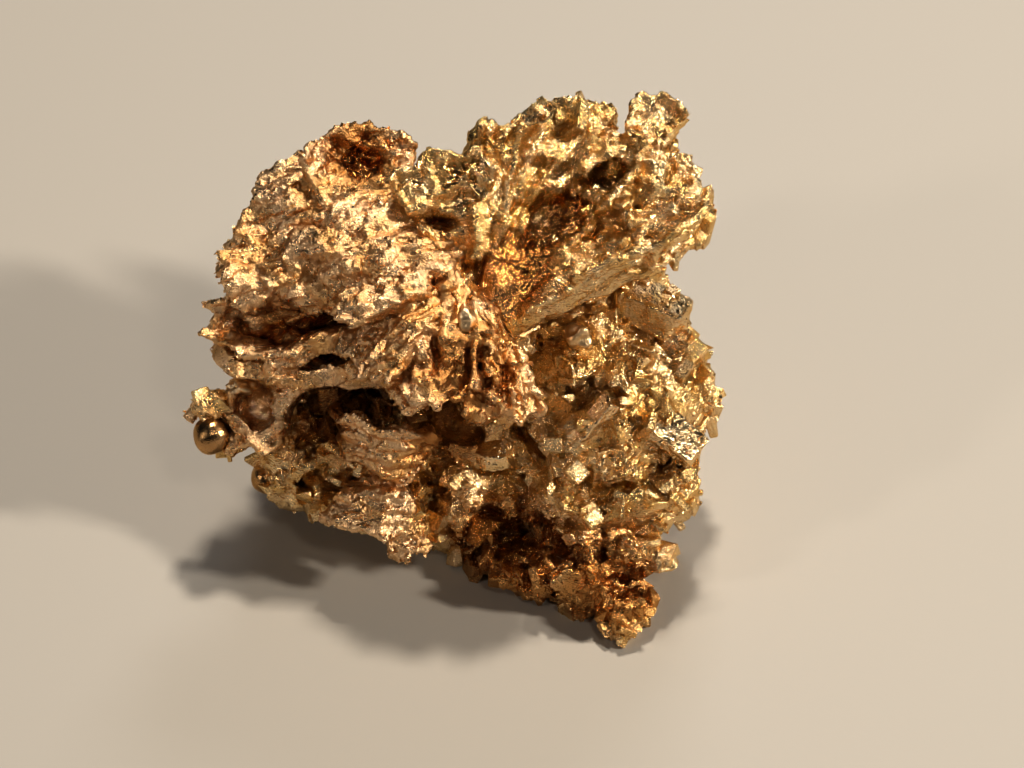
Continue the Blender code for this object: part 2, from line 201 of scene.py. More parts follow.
class Nodes:
    # short ways to put nodes in a tree and join them

    def __init__(self, tree):
        self.tree = tree

    def put(self, socket, value):
        if isinstance(value, bpy.types.NodeSocket):
            self.tree.links.new(value, socket)
        else:
            socket.default_value = value

    def new(self, kind, setup=None, **sockets):
        node = self.tree.nodes.new(kind)
        for key, value in (setup or {}).items():
            setattr(node, key, value)
        for key, value in sockets.items():
            self.put(node.inputs[key.replace("_", " ")], value)
        return node

    def calculate(self, kind, operation, values):
        node = self.new(kind, {"operation": operation})
        for socket, value in zip(node.inputs, values):
            self.put(socket, value)
        return node

    def number(self, operation, *values):
        return self.calculate("ShaderNodeMath", operation, values).outputs[0]

    def vector(self, operation, *values):
        node = self.calculate("ShaderNodeVectorMath", operation, values)
        return node.outputs["Value" if operation == "DOT_PRODUCT" else "Vector"]

    def times(self, a, b):
        return self.number("MULTIPLY", a, b)

    def timesPlus(self, a, b, c):
        return self.number("MULTIPLY_ADD", a, b, c)

    def scaled(self, vector, scale):
        node = self.new("ShaderNodeVectorMath", {"operation": "SCALE"}, Vector=vector, Scale=scale)
        return node.outputs["Vector"]

    def cells(self, place, size, shift):
        # the place counted in cells of this many mm
        return self.vector("MULTIPLY_ADD", place, (1 / (size * mm),) * 3, (shift,) * 3)

    def cloud(self, vector, scale=1.0, detail=1.0):
        return self.new("ShaderNodeTexNoise", Vector=vector, Scale=scale, Detail=detail).outputs["Fac"]

    def mapped(self, value, low, high, **ends):
        return self.new("ShaderNodeMapRange", Value=value, To_Min=low, To_Max=high, **ends).outputs["Result"]

    def attribute(self, name, kind="FLOAT"):
        node = self.new("GeometryNodeInputNamedAttribute", {"data_type": kind}, Name=name)
        return node.outputs["Attribute"]

    def position(self):
        return self.new("GeometryNodeInputPosition").outputs["Position"]


def layer(kind, size, depth, **more):
    # size and depth in mm; where says on which marked ground it goes from one strength to another,
    # and patch, with its size in mm, between which strengths it comes and goes
    return {"kind": kind, "size": size, "depth": depth, **more}


grainTop = 0.35  # of a round crumb, whose edge is where this is used up
pitReach = 0.42  # share of a cell
patchEdge = {"From_Min": 0.42, "From_Max": 0.58}
patchShift = 9.7  # so that patches of two sizes don't coincide


def layerHeight(nodes, row, place):
    kind, depth = row["kind"], row["depth"] * mm
    cells = nodes.cells(place, row["size"], row.get("shift", 0.0))
    if kind in ("chips", "grains", "pits"):
        crumbs = nodes.new("ShaderNodeTexVoronoi", Vector=cells, Scale=1.0)
        away = crumbs.outputs["Distance"]
    if kind == "chips":  # every cell is one crystal face with a tilt of its own
        across = nodes.vector("SUBTRACT", cells, crumbs.outputs["Position"])
        tilt = nodes.vector("SUBTRACT", crumbs.outputs["Color"], (0.5, 0.5, 0.5))
        return nodes.times(nodes.vector("DOT_PRODUCT", across, tilt), 2 * depth)
    if kind == "grains":  # round crumbs that touch each other
        return nodes.times(nodes.number("SUBTRACT", grainTop, nodes.times(away, away)), depth)
    if kind == "pits":
        inside = nodes.number("MAXIMUM", 0.0, nodes.number("SUBTRACT", pitReach, away))
        return nodes.times(inside, -depth / pitReach)
    wave = nodes.number("SUBTRACT", nodes.cloud(cells, detail=row.get("detail", 1.0)), 0.5)
    if kind == "waves":
        return nodes.times(wave, 2 * depth)
    if kind == "crumple":  # soft swellings with sharp creases between them
        return nodes.times(nodes.number("ABSOLUTE", wave), 4 * depth)
    if kind == "strata":  # edges of layers that all lie the same way, each standing off at its lower edge
        across = tuple(seenWay(*row["across"]) / (row["step"] * mm))
        run = nodes.timesPlus(wave, row["wander"], nodes.vector("DOT_PRODUCT", place, across))
        return nodes.times(nodes.number("FRACT", run), depth)
    flow = nodes.new("ShaderNodeSeparateXYZ", Vector=nodes.attribute("flow", "FLOAT_VECTOR"))
    reach, side = flow.outputs["X"], flow.outputs["Y"]
    if kind == "wrinkles":  # broken crests, long one way and short the other, that follow the growth
        bent = nodes.timesPlus(wave, row["wander"], reach)
        bent = nodes.timesPlus(nodes.number("ABSOLUTE", side), row["lean"], bent)
        crests = nodes.new("ShaderNodeCombineXYZ", X=nodes.times(bent, 1 / row["short"]),
                           Y=nodes.times(side, 1 / row["long"]))
        crest = nodes.number("SUBTRACT", nodes.cloud(crests.outputs["Vector"], detail=1.5), 0.5)
        return nodes.times(nodes.number("ABSOLUTE", crest), 4 * depth)
    if kind == "terraces":  # one growth layer over another, with the step towards the rim
        run = nodes.timesPlus(reach, 1 / row["step"], nodes.times(wave, row["wander"]))
        return nodes.times(nodes.number("FRACT", run), depth)
    # feathers: lines that lean away from the middle of the leaf
    run = nodes.timesPlus(reach, row["along"], nodes.times(nodes.number("ABSOLUTE", side), row["lean"]))
    ridge = nodes.number("PINGPONG", nodes.timesPlus(wave, row["wander"], run), row["step"])
    return nodes.times(ridge, depth / row["step"])


def patchShare(nodes, place, size, low, high):
    # strong in some places and weak in others
    return nodes.mapped(nodes.cloud(nodes.cells(place, size, size * patchShift)), low, high, **patchEdge)


def reliefTree(name, stages):
    tree = newTree(name)
    nodes = Nodes(tree)
    shape = nodes.new("NodeGroupInput").outputs["Geometry"]
    for stage in stages:
        place = nodes.position()
        normal = nodes.new("GeometryNodeInputNormal").outputs["Normal"]
        total = None
        for row in stage:
            height = layerHeight(nodes, row, place)
            for mark, low, high in row.get("where", ()):
                height = nodes.times(height, nodes.mapped(nodes.attribute(mark), low, high))
            if "patch" in row:
                height = nodes.times(height, patchShare(nodes, place, *row["patch"]))
            total = height if total is None else nodes.number("ADD", total, height)
        offset = nodes.scaled(normal, total)
        shape = nodes.new("GeometryNodeSetPosition", Geometry=shape, Offset=offset).outputs["Geometry"]
    nodes.new("NodeGroupOutput", Geometry=shape)
    return tree


def carve(piece, stages):
    relief = piece.modifiers.new("relief", "NODES")
    relief.node_group = reliefTree(piece.name + "Relief", stages)
    settle(piece)


# gold

goldLook = {
    "leaf": {"pale": (0.83, 0.58, 0.35), "deep": (0.72, 0.44, 0.19), "rough": (0.22, 0.36), "bump": 0.80},
    "body": {"pale": (0.87, 0.66, 0.39), "deep": (0.78, 0.53, 0.22), "rough": (0.14, 0.28), "bump": 0.85},
    "crystal": {"pale": (0.88, 0.68, 0.43), "deep": (0.80, 0.56, 0.27), "rough": (0.13, 0.27), "bump": 0.60},
    "satin": {"pale": (0.86, 0.66, 0.43), "deep": (0.79, 0.57, 0.32), "rough": (0.28, 0.42), "bump": 0.50},
    # painted reflection: the beads' gold is painted dark, as if it mirrored dark surroundings
    "mirror": {"pale": (0.54, 0.34, 0.17), "deep": (0.40, 0.23, 0.09), "rough": (0.18, 0.34), "bump": 0.25},
}
# the dark amber colour of the painted shade, and how strongly it is painted
paintedShadeLook = {"colour": (0.52, 0.26, 0.08), "share": 0.85}
# what all gold shares: clouds of tint, gloss and the finest grain, each by its cells to the metre and detail
goldMake = {
    "edgeTint": (1.0, 0.86, 0.62, 1),  # gold stays golden at its edges
    "tintCloud": (520, 5),
    "tintRange": (0.38, 0.60),
    "glossCloud": (1700, 3),
    "glossRange": (0.35, 0.65),
    "polish": -0.45,  # how much less rough calm ground is
    "facetCells": 9000,
    "facetShare": 0.6,
    "grainCloud": (12000, 3),
    "grainDepth": 0.06,  # mm
}


def goldMaterial(name):
    look = goldLook[name]
    material = bpy.data.materials.new("gold" + name.capitalize())
    material.use_nodes = True
    nodes = Nodes(material.node_tree)
    shader = material.node_tree.nodes["Principled BSDF"]
    nodes.put(shader.inputs["Metallic"], 1.0)
    nodes.put(shader.inputs["Specular Tint"], goldMake["edgeTint"])
    place = nodes.new("ShaderNodeTexCoord").outputs["Object"]

    def between(share, a, b):
        blend = nodes.new("ShaderNodeMix", {"data_type": "RGBA"}, Factor=share)
        nodes.put(blend.inputs["A"], a)
        nodes.put(blend.inputs["B"], b)
        return blend.outputs["Result"]

    def marked(kind):
        return nodes.new("ShaderNodeAttribute", {"attribute_name": kind}).outputs["Fac"]

    def clouds(kind, least, most):
        low, high = goldMake[kind + "Range"]
        cloud = nodes.cloud(place, *goldMake[kind + "Cloud"])
        return nodes.mapped(cloud, least, most, From_Min=low, From_Max=high)

    # pale, pinkish gold beside deep yellow, and a painted shade of dark amber where the ground is marked
    tint = between(clouds("tint", 0.0, 1.0), (*look["deep"], 1), (*look["pale"], 1))
    amber = nodes.times(marked("amber"), paintedShadeLook["share"])
    nodes.put(shader.inputs["Base Color"], between(amber, tint, (*paintedShadeLook["colour"], 1)))

    polish = nodes.timesPlus(marked("calm"), goldMake["polish"], 1.0)
    nodes.put(shader.inputs["Roughness"], nodes.times(clouds("gloss", *look["rough"]), polish))

    facets = nodes.new("ShaderNodeTexVoronoi", Vector=place, Scale=goldMake["facetCells"])
    fine = nodes.cloud(place, *goldMake["grainCloud"])
    grain = nodes.timesPlus(facets.outputs["Distance"], goldMake["facetShare"], fine)
    bump = nodes.new("ShaderNodeBump", Strength=look["bump"], Distance=goldMake["grainDepth"] * mm,
                     Height=grain)
    nodes.put(shader.inputs["Normal"], bump.outputs["Normal"])
    return material


gold = {name: goldMaterial(name) for name in goldLook}
print("gold ready")


# the body: lumps that grew together, each with its place, its radii and how rough it is

lumps = {
    "core": ((1.5, -1.2, -4.4), (6.2, 6.0, 5.4), 0.16),
    "heart": ((1.2, 2.6, 0.2), (3.6, 3.2, 3.6), 0.20),
    "rightBody": ((7.8, -2.0, -2.6), (5.0, 5.2, 5.0), 0.14),
    "rightLow": ((7.9, -5.9, -1.8), (4.4, 3.1, 3.9), 0.16),
    "toe": ((6.9, -9.8, -0.9), (2.3, 2.2, 2.3), 0.24),
    "toeTip": ((8.5, -12.1, 0.0), (1.3, 1.0, 1.2), 0.22),
    "toeSide": ((9.2, -9.4, 0.2), (1.5, 0.8, 1.3), 0.25),
    "toeInner": ((4.8, -9.8, -1.6), (1.9, 1.5, 2.0), 0.25),
    "belly": ((1.0, -6.8, -3.4), (3.7, 2.7, 3.6), 0.22),
    "leftBody": ((-3.6, -5.2, -2.9), (4.2, 2.8, 3.5), 0.20),
    "leftEdge": ((-7.1, -4.9, -2.8), (2.6, 2.4, 2.4), 0.22),
    "leftLow": ((-3.8, -6.9, -1.0), (2.1, 1.4, 1.9), 0.22),
    "leftShoulder": ((-4.2, 1.9, -3.4), (4.4, 3.6, 3.2), 0.18),
    "rightShoulder": ((6.6, 4.2, -2.4), (4.0, 3.8, 3.4), 0.18),
    "crown": ((6.2, 11.1, 0.6), (2.2, 1.9, 1.6), 0.26),
    "crownRight": ((9.6, 9.2, 1.2), (1.8, 1.7, 1.5), 0.26),
    "wingTip": ((10.9, 7.0, 3.2), (1.5, 1.2, 1.2), 0.22),
    "wingFold": ((8.2, 8.6, 2.8), (1.7, 1.0, 1.1), 0.26),
    "saddle": ((2.2, 8.6, 1.4), (1.9, 2.0, 1.4), 0.26),
    "curlEnd": ((-11.9, -2.0, 0.2), (0.95, 0.7, 0.9), 0.25),
    "beadSeat": ((-11.1, -3.6, -0.5), (1.0, 0.9, 0.8), 0.25),
    "leftWaist": ((-6.8, -1.9, -2.2), (2.2, 1.7, 1.8), 0.20),
    "back": ((2.6, 2.6, -7.6), (5.0, 4.2, 4.0), 0.20),
    "backFoot": ((3.0, -1.8, -10.6), (2.8, 2.2, 2.4), 0.25),
    "backLeftFoot": ((-4.6, -3.2, -8.6), (3.0, 2.4, 2.7), 0.25),
}
bodyMake = {
    "skin": 0.11,  # how fine the skin is, mm
    "roundness": 5,  # subdivisions of a lump
    # the lumps of each piece of the mesh, and its most triangles
    "pieces": {
        "bodyRight": (("rightBody", "rightLow", "rightShoulder"), 185000),
        "bodyToe": (("toe", "toeTip", "toeSide", "toeInner", "belly"), 120000),
        "bodyCrown": (("crown", "crownRight", "wingTip", "wingFold", "saddle"), 120000),
        "bodyLeft": (("core", "heart", "leftBody", "leftEdge", "leftLow", "leftShoulder", "curlEnd",
                      "beadSeat", "leftWaist"), 130000),
        "bodyBack": (("back", "backFoot", "backLeftFoot"), 70000),
    },
}
bodyRelief = (
    (layer("chips", 0.9, 0.16, where=(("calm", 1, 0.1),), patch=(1.8, 0.2, 1)),
     layer("pits", 0.60, 0.20, shift=3.0, patch=(1.9, 0, 1))),
    (layer("crumple", 0.50, 0.05, detail=2.0, patch=(1.3, 0.3, 1)),
     layer("grains", 0.26, 0.06, patch=(2.3, 0, 1))),
)
# the crystals that stand on the lumps: which lump, how many, and on which side of it
crystalBeds = (
    ("rightBody", 46, (0.5, 0.2, 0.7)),
    ("rightBody", 14, (0.8, -0.1, -0.6)),
    ("rightLow", 30, (0.5, -0.2, 0.7)),
    ("rightLow", 12, (0.7, -0.3, -0.6)),
    ("toe", 12, (0.1, -0.2, 0.8)),
    ("toe", 5, (0.6, -0.5, -0.5)),
    ("toeTip", 6, (0.2, 0.0, 0.8)),
    ("toeSide", 5, (0.4, 0.0, 0.8)),
    ("toeInner", 6, (-0.2, -0.2, 0.8)),
    ("belly", 14, (0.1, -0.1, 0.9)),
    ("leftBody", 18, (-0.3, -0.1, 0.8)),
    ("leftBody", 8, (-0.6, -0.2, -0.6)),
    ("leftEdge", 12, (-0.5, -0.4, 0.6)),
    ("leftLow", 6, (-0.2, -0.2, 0.8)),
    ("rightShoulder", 14, (0.8, 0.4, -0.2)),
    ("leftShoulder", 14, (-0.5, 0.4, -0.6)),
    ("core", 18, (0.0, -0.4, -0.4)),
    ("core", 12, (-0.6, 0.1, -0.7)),
    ("back", 30, (0.1, 0.3, -0.9)),
    ("backFoot", 8, (0.2, 0.1, -0.8)),
    ("backLeftFoot", 10, (-0.6, 0.0, -0.6)),
    ("heart", 10, (0.0, 0.2, 0.9)),
    ("crown", 16, (0.0, 0.5, 0.7)),
    ("crown", 6, (0.1, 0.3, -0.9)),
    ("crownRight", 9, (0.2, 0.3, 0.7)),
    ("crownRight", 5, (0.2, 0.0, -0.9)),
    ("wingTip", 7, (0.1, 0.3, 0.8)),
    ("wingFold", 5, (0.0, 0.2, 0.8)),
    ("saddle", 9, (0.0, 0.3, 0.8)),
)
bedMake = {
    "sizes": (0.45, 1.1),  # radii, mm
    "sink": 0.25,  # how far a crystal sits in the gold, as a share of its radius
    "from": 0.15,  # how much of the lump counts as its side
    "kinds": ("octahedron", "octahedron", "cube", "plate"),
}
# dark hollows in the body: place, half width and half height, and depth, in mm as seen
bodyHollows = {
    "underStrips": ((-5.0, -2.3, 0.0), (2.7, 1.5), 2.4),
    "underSkirt": ((-0.3, -3.0, 1.0), (2.4, 1.3), 2.6),
    "underBelly": ((3.4, -9.0, 0.0), (3.0, 1.6), 2.4),
    "betweenShells": ((-4.4, -5.9, 0.2), (2.6, 0.6), 1.8),
    "rightLow": ((7.5, -6.3, 2.0), (1.4, 0.9), 1.6),
    "rightMiddle": ((6.8, -1.4, 2.4), (1.7, 0.7), 1.4),
    "toeTop": ((9.0, -10.9, 1.0), (1.0, 0.7), 1.1),
    "besideBlade": ((4.3, -3.4, 2.0), (1.0, 1.2), 1.2),
    "rightEdge": ((10.6, -5.6, 1.0), (1.0, 0.8), 1.2),
    "underWing": ((6.2, 3.6, 1.6), (1.8, 0.7), 1.6),
    "wingHollow": ((8.0, 9.3, 3.4), (1.5, 0.7), 2.4),
    "pocket": ((-6.6, 2.2, -0.8), (3.4, 1.8), 1.8),
    "lowLeft": ((-0.9, -6.6, 1.0), (0.8, 1.2), 1.6),
    "belowLump": ((-6.6, -4.0, 0.0), (1.0, 0.8), 1.4),
}
# and in the leaves
leafHollows = {
    "funnel": ((5.9, 7.1, 2.6), (2.8, 1.7), 1.4),
    "wingHollow": ((8.0, 9.3, 3.0), (1.5, 0.7), 2.0),
    "wingPit": ((8.4, 5.3, 3.6), (0.8, 0.5), 1.4),
    "rimPit": ((10.1, 6.0, 3.4), (0.7, 0.4), 1.1),
    "tipPit": ((11.4, 7.6, 3.0), (0.6, 0.4), 1.0),
    "neckPit": ((6.6, 5.2, 3.0), (0.5, 0.3), 0.9),
    "betweenShells": ((-4.4, -5.9, 1.2), (2.4, 0.5), 1.8),
    "orangeHollow": ((-0.6, 4.0, 4.2), (0.5, 0.9), 1.5),
    "plateHollow": ((-0.7, 7.0, 3.2), (1.4, 0.5), 1.3),
    "pocket": ((-7.6, 2.3, 0.8), (3.6, 1.5), 0.8),
    "lobeHollow": ((-4.5, 10.2, 0.2), (2.0, 1.1), 1.3),
    "underSkirt": ((0.6, -2.9, 4.6), (1.9, 0.5), 1.6),
    "skirtSlit": ((1.6, -0.3, 5.0), (0.40, 1.8), 2.0),
    "skirtSlitLeft": ((-0.6, 0.5, 4.8), (0.35, 1.6), 1.8),
    "skirtSlitRight": ((2.7, -0.6, 4.4), (0.3, 1.4), 1.4),
    "bandPit": ((6.0, 3.9, 3.9), (0.6, 0.35), 1.2),
    "bandPitRight": ((9.4, 5.0, 3.8), (0.7, 0.35), 1.3),
}
hollowMake = {
    "near": 4.0,  # how far a hollow reaches towards the camera and away from it, mm
    "wander": 0.7,  # so that no hollow is round
    "wanderLength": 0.9,  # mm
    "edge": 1.2,  # where it ends and
    "slope": 0.6,  # how wide its slope is, in half widths
    "most": 2,  # no point further away than this can be in it
}


def hollow(piece, hollows):
    # the front is pressed back in each hollow
    places = rows(piece.data.vertices)
    across = asSeen(places)
    back = np.zeros(len(places))
    for at, half, depth in hollows.values():
        spot = (across - np.array(at)) / np.array((*half, hollowMake["near"]))
        away = np.linalg.norm(spot, axis=1)
        for near in np.nonzero(away < hollowMake["most"])[0]:
            wave = noise.noise(Vector(across[near]) / hollowMake["wanderLength"])
            away[near] += hollowMake["wander"] * wave
        back = np.maximum(back, smooth((hollowMake["edge"] - away) / hollowMake["slope"]) * depth)
    places += back[:, None] * np.array(seenWay(0, 0, -1)) * mm
    piece.data.vertices.foreach_set("co", places.ravel())
    piece.data.update()


def lumpShape(name, roundness):
    at, radii, rough = lumps[name]
    shape = bmesh.new()
    bmesh.ops.create_icosphere(shape, subdivisions=roundness, radius=1.0)
    phase = Vector(at)
    for vert in shape.verts:
        ball = vert.co.copy()
        swell = noise.noise(ball * 1.3 + phase) + 0.7 * noise.noise(ball * 3.1 + phase)
        grown = ball * (1 + rough * swell)
        vert.co = seen(*(a + b * c for a, b, c in zip(at, grown, radii)))
    bmesh.ops.recalc_face_normals(shape, faces=shape.faces)
    shape.normal_update()
    return shape


def joinShapes(name, shapes):
    together = bmesh.new()
    part = bpy.data.meshes.new("part")
    for shape in shapes:
        shape.to_mesh(part)
        shape.free()
        together.from_mesh(part)
    bpy.data.meshes.remove(part)
    return newObject(name, together)


blockSides = {"block": (1.35, 0.95, 0.75), "blade": (1.7, 1.1, 0.4)}
shardMake = {"corners": 11, "reach": (0.8, 1.15)}


def bevelEdges(shape, width):
    bmesh.ops.bevel(shape, geom=shape.edges, offset=width, affect="EDGES", segments=1, profile=0.5,
                    material=-1)


def shardShape(name, radius):
    # a broken piece with a few flat faces of its own
    shape = bmesh.new()
    chance = random.Random(name)
    for corner in range(shardMake["corners"]):
        way = Vector([chance.gauss(0, 1) for axis in range(3)]).normalized()
        shape.verts.new(way * radius * chance.uniform(*shardMake["reach"]))
    hull = bmesh.ops.convex_hull(shape, input=shape.verts)
    bmesh.ops.delete(shape, geom=hull["geom_interior"], context="VERTS")
    bmesh.ops.recalc_face_normals(shape, faces=shape.faces)
    return shape


def crystalShape(kind, radius, edge=0.0):
    if kind.startswith("shard"):
        return shardShape(kind, radius)
    shape = bmesh.new()
    if kind == "octahedron":
        bmesh.ops.create_uvsphere(shape, u_segments=4, v_segments=2, radius=radius)
    elif kind == "plate":
        bmesh.ops.create_cone(shape, cap_ends=True, segments=6, radius1=radius * 1.15,
                              radius2=radius * 1.15, depth=radius * 0.8)
    else:
        bmesh.ops.create_cube(shape, size=radius * 1.5)
        bmesh.ops.scale(shape, vec=blockSides.get(kind, (1, 1, 1)), verts=shape.verts)
    if edge:
        bevelEdges(shape, radius * edge)
    return shape


def bedShapes(number, host, count, towards):
    # crystals that stand on one side of a lump, partly sunk in it
    chance = random.Random(number)
    shown = seenWay(*towards).normalized()
    surface = lumpShape(host, 3)
    center = sum((vert.co for vert in surface.verts), Vector()) / len(surface.verts)
    edge = max(shown.dot(vert.co - center) for vert in surface.verts) * bedMake["from"]
    nearSide = [vert for vert in surface.verts if shown.dot(vert.co - center) > edge]
    shapes = []
    for vert in chance.choices(nearSide, k=count):
        radius = chance.uniform(*bedMake["sizes"]) * mm
        shape = crystalShape(chance.choice(bedMake["kinds"]), radius)
        turn = Matrix.Rotation(chance.uniform(0, math.tau), 4, "Z")
        lean = Matrix.Rotation(chance.uniform(0, math.pi), 4, vert.normal)
        place = vert.co - vert.normal * radius * bedMake["sink"]
        bmesh.ops.transform(shape, matrix=Matrix.Translation(place) @ lean @ turn, verts=shape.verts)
        shapes.append(shape)
    surface.free()
    return shapes


def growBody(name, hosts, most):
    shapes = [lumpShape(host, bodyMake["roundness"]) for host in hosts]
    for number, bed in enumerate(crystalBeds):
        if bed[0] in hosts:
            shapes += bedShapes(number, *bed)
    piece = joinShapes(name, shapes)
    oneSkin(piece, bodyMake["skin"])
    settle(piece)
    hollow(piece, bodyHollows)
    markGround(piece)
    carve(piece, bodyRelief)
    thinTo(piece, most)
    keepAbove(piece)
    shade(piece, 38)
    dress(piece, gold["body"])


for name, row in bodyMake["pieces"].items():
    growBody(name, *row)
print("body grown")


# leaves: sheets of gold that fan out from a root to a ragged rim, two or more to a leaf

@dataclass
class Leaf:
    root: tuple
    tip: tuple
    facing: tuple
    spread: float  # degrees, over the whole fan
    rootWidth: float  # mm
    bow: float  # how far the tip curls towards the way it faces, as a share of its length,
    cup: float  # and how far its sides do
    thick: float = 0.8  # mm
    layers: int = 5
    ragged: float = 0.16  # how far the rim wanders, as a share of the leaf's length
    ripple: float = 0.6  # how far its face wanders, mm
    round: float = 0.12  # how much shorter it is at both sides of the rim,
    leftCut: float = 0  # and at one of them, as shares of its length
    rightCut: float = 0


leaves = {
    "leftWing": {
        "wing": Leaf((0.4, 4.4, 3.0), (-10.4, 8.1, 1.0), (-0.3, 0.3, 0.9), 48, 2.2, -0.06, -0.10,
                     thick=1.0, rightCut=0.12, ragged=0.05),
        "wingOver": Leaf((0.0, 4.0, 4.0), (-7.2, 6.2, 2.6), (-0.2, 0.3, 0.9), 32, 2.0, -0.06, -0.08),
        "wingEdge": Leaf((-2.0, 3.8, 2.4), (-10.9, 4.9, 1.6), (-0.2, 0.4, 0.9), 15, 1.8, 0.04, -0.12),
        "topLobe": Leaf((-4.0, 6.2, 1.0), (-4.9, 11.8, -0.2), (0.1, 0.0, 1.0), 36, 3.4, 0.12, 0.16,
                        thick=0.9, ragged=0.05, round=0.26),
    },
    "pocket": {
        "wall": Leaf((-2.6, 3.0, 0.7), (-12.8, 1.9, 0.5), (0.0, -0.1, 0.95), 12, 2.4, 0.08, 0.12,
                     layers=2, leftCut=0.14, round=0.30),
        "floor": Leaf((-0.6, 0.4, 2.2), (-7.4, -0.2, 0.4), (0.1, 0.8, 0.5), 20, 1.6, 0.04, 0.0, layers=2),
        "under": Leaf((-0.4, -0.1, 2.2), (-9.0, -1.7, -0.2), (-0.1, 0.85, 0.5), 20, 1.4, 0.10, 0.06),
        "curl": Leaf((-8.2, -0.8, -0.1), (-10.5, -3.6, -0.3), (0.0, 0.7, 0.7), 44, 2.4, 0.04, 0.08, layers=2),
    },
    "front": {
        "plate": Leaf((0.8, 4.0, 3.8), (-5.0, 0.2, 3.8), (-0.25, 0.2, 0.95), 50, 1.2, -0.06, -0.06,
                      ripple=0.25),
        "blade": Leaf((0.4, 4.0, 4.6), (-5.6, 2.5, 4.7), (-0.1, 0.5, 0.85), 15, 0.8, -0.04, 0.0,
                      thick=0.7, ripple=0.2),
        "bladeLow": Leaf((0.2, 3.2, 4.7), (-3.9, -0.6, 5.2), (-0.5, 0.5, 0.75), 20, 0.8, -0.04, 0.0,
                         thick=0.7, ripple=0.2),
        "skirtLeft": Leaf((0.8, 3.0, 4.2), (-1.4, -1.9, 5.2), (-0.3, -0.1, 0.95), 34, 1.0, 0.05, -0.10),
        "skirtMiddle": Leaf((1.4, 3.0, 4.2), (1.9, -2.2, 5.4), (0.9, 0.0, 0.4), 26, 1.2, 0.05, 0.0),
        "skirtRight": Leaf((2.0, 1.6, 3.4), (2.6, -3.0, 4.6), (0.3, 0.3, 0.9), 40, 1.2, 0.05, 0.08),
        "edgeOn": Leaf((1.9, 1.8, 4.2), (2.7, -2.3, 5.3), (0.98, 0.2, 0.0), 14, 0.8, 0.03, 0.0,
                       thick=0.6, layers=2),
        "edgeOnRight": Leaf((2.5, 1.4, 3.9), (3.4, -2.2, 4.7), (0.98, 0.25, 0.1), 14, 0.8, 0.03, 0.0,
                            thick=0.6, layers=2),
    },
    "flutes": {
        "middlePlate": Leaf((0.4, 5.4, 2.6), (-0.3, 10.5, 2.6), (-0.1, 0.5, 0.85), 54, 1.8, 0.14, 0.14),
        "fluteLeft": Leaf((1.2, 5.0, 3.4), (2.5, 10.8, 2.0), (-0.8, 0.1, 0.6), 24, 1.4, 0.03, 0.0,
                          ragged=0.04),
        "fluteRight": Leaf((2.4, 5.0, 3.0), (3.8, 11.9, 1.6), (0.7, -0.1, 0.7), 24, 1.4, 0.03, 0.0),
        "fluteMiddle": Leaf((2.2, 5.4, 2.6), (3.3, 11.5, 1.3), (0.1, 0.2, 0.95), 24, 1.8, 0.05, 0.20),
    },
    "rightWing": {
        "funnel": Leaf((2.2, 2.8, 3.4), (7.6, 11.6, 1.4), (-0.3, -0.1, 0.95), 32, 1.8, 0.04, 0.26,
                       thick=1.0, layers=2),
        "over": Leaf((4.8, 6.6, 2.0), (9.8, 9.8, 2.8), (-0.2, 0.3, 0.9), 34, 1.6, 0.08, -0.12),
        "rim": Leaf((2.8, 2.0, 3.6), (12.1, 7.2, 3.4), (-0.25, 0.6, 0.75), 20, 1.8, 0.10, 0.14, thick=1.0),
        "under": Leaf((4.0, 2.6, 2.0), (11.0, 5.6, 2.0), (-0.2, 0.7, 0.6), 22, 1.6, 0.05, 0.05),
        "corner": Leaf((9.4, 9.4, 1.2), (10.7, 13.2, 0.8), (-0.2, 0.1, 0.95), 34, 1.2, 0.08, 0.10),
    },
    "lowShells": {
        "leftShell": Leaf((-3.4, -5.6, -0.4), (-3.2, -2.5, 2.8), (-0.1, 0.35, 0.9), 60, 1.8, 0.10, -0.34,
                          ragged=0.10),
        "lowShell": Leaf((-3.4, -5.6, 0.2), (-3.8, -8.8, 1.0), (-0.1, -0.1, 0.95), 72, 1.8, 0.05, -0.20),
        "lowFlake": Leaf((-2.8, -7.4, -0.4), (-1.9, -9.9, 0.2), (0.2, 0.0, 0.95), 34, 0.8, 0.05, 0.0),
    },
    "backLeaves": {
        "wing": Leaf((1.0, 3.8, -6.0), (-5.4, 8.0, -8.4), (-0.2, 0.3, -0.9), 52, 2.4, 0.08, 0.10, thick=1.0),
        "fin": Leaf((3.0, 4.4, -6.4), (7.8, 9.4, -6.4), (0.3, 0.2, -0.9), 52, 2.2, 0.08, 0.12, thick=1.0),
        "ridge": Leaf((2.0, 4.0, -7.0), (1.8, 7.4, -10.6), (0.8, 0.4, 0.3), 44, 2.0, 0.05, 0.10),
        "left": Leaf((-3.6, 1.6, -5.4), (-9.0, 4.4, -6.8), (-0.3, 0.5, -0.7), 48, 2.0, 0.06, 0.12),
        "right": Leaf((6.8, 2.0, -5.0), (11.2, 5.0, -5.8), (0.4, 0.4, -0.7), 46, 2.0, 0.06, 0.12),
    },
}
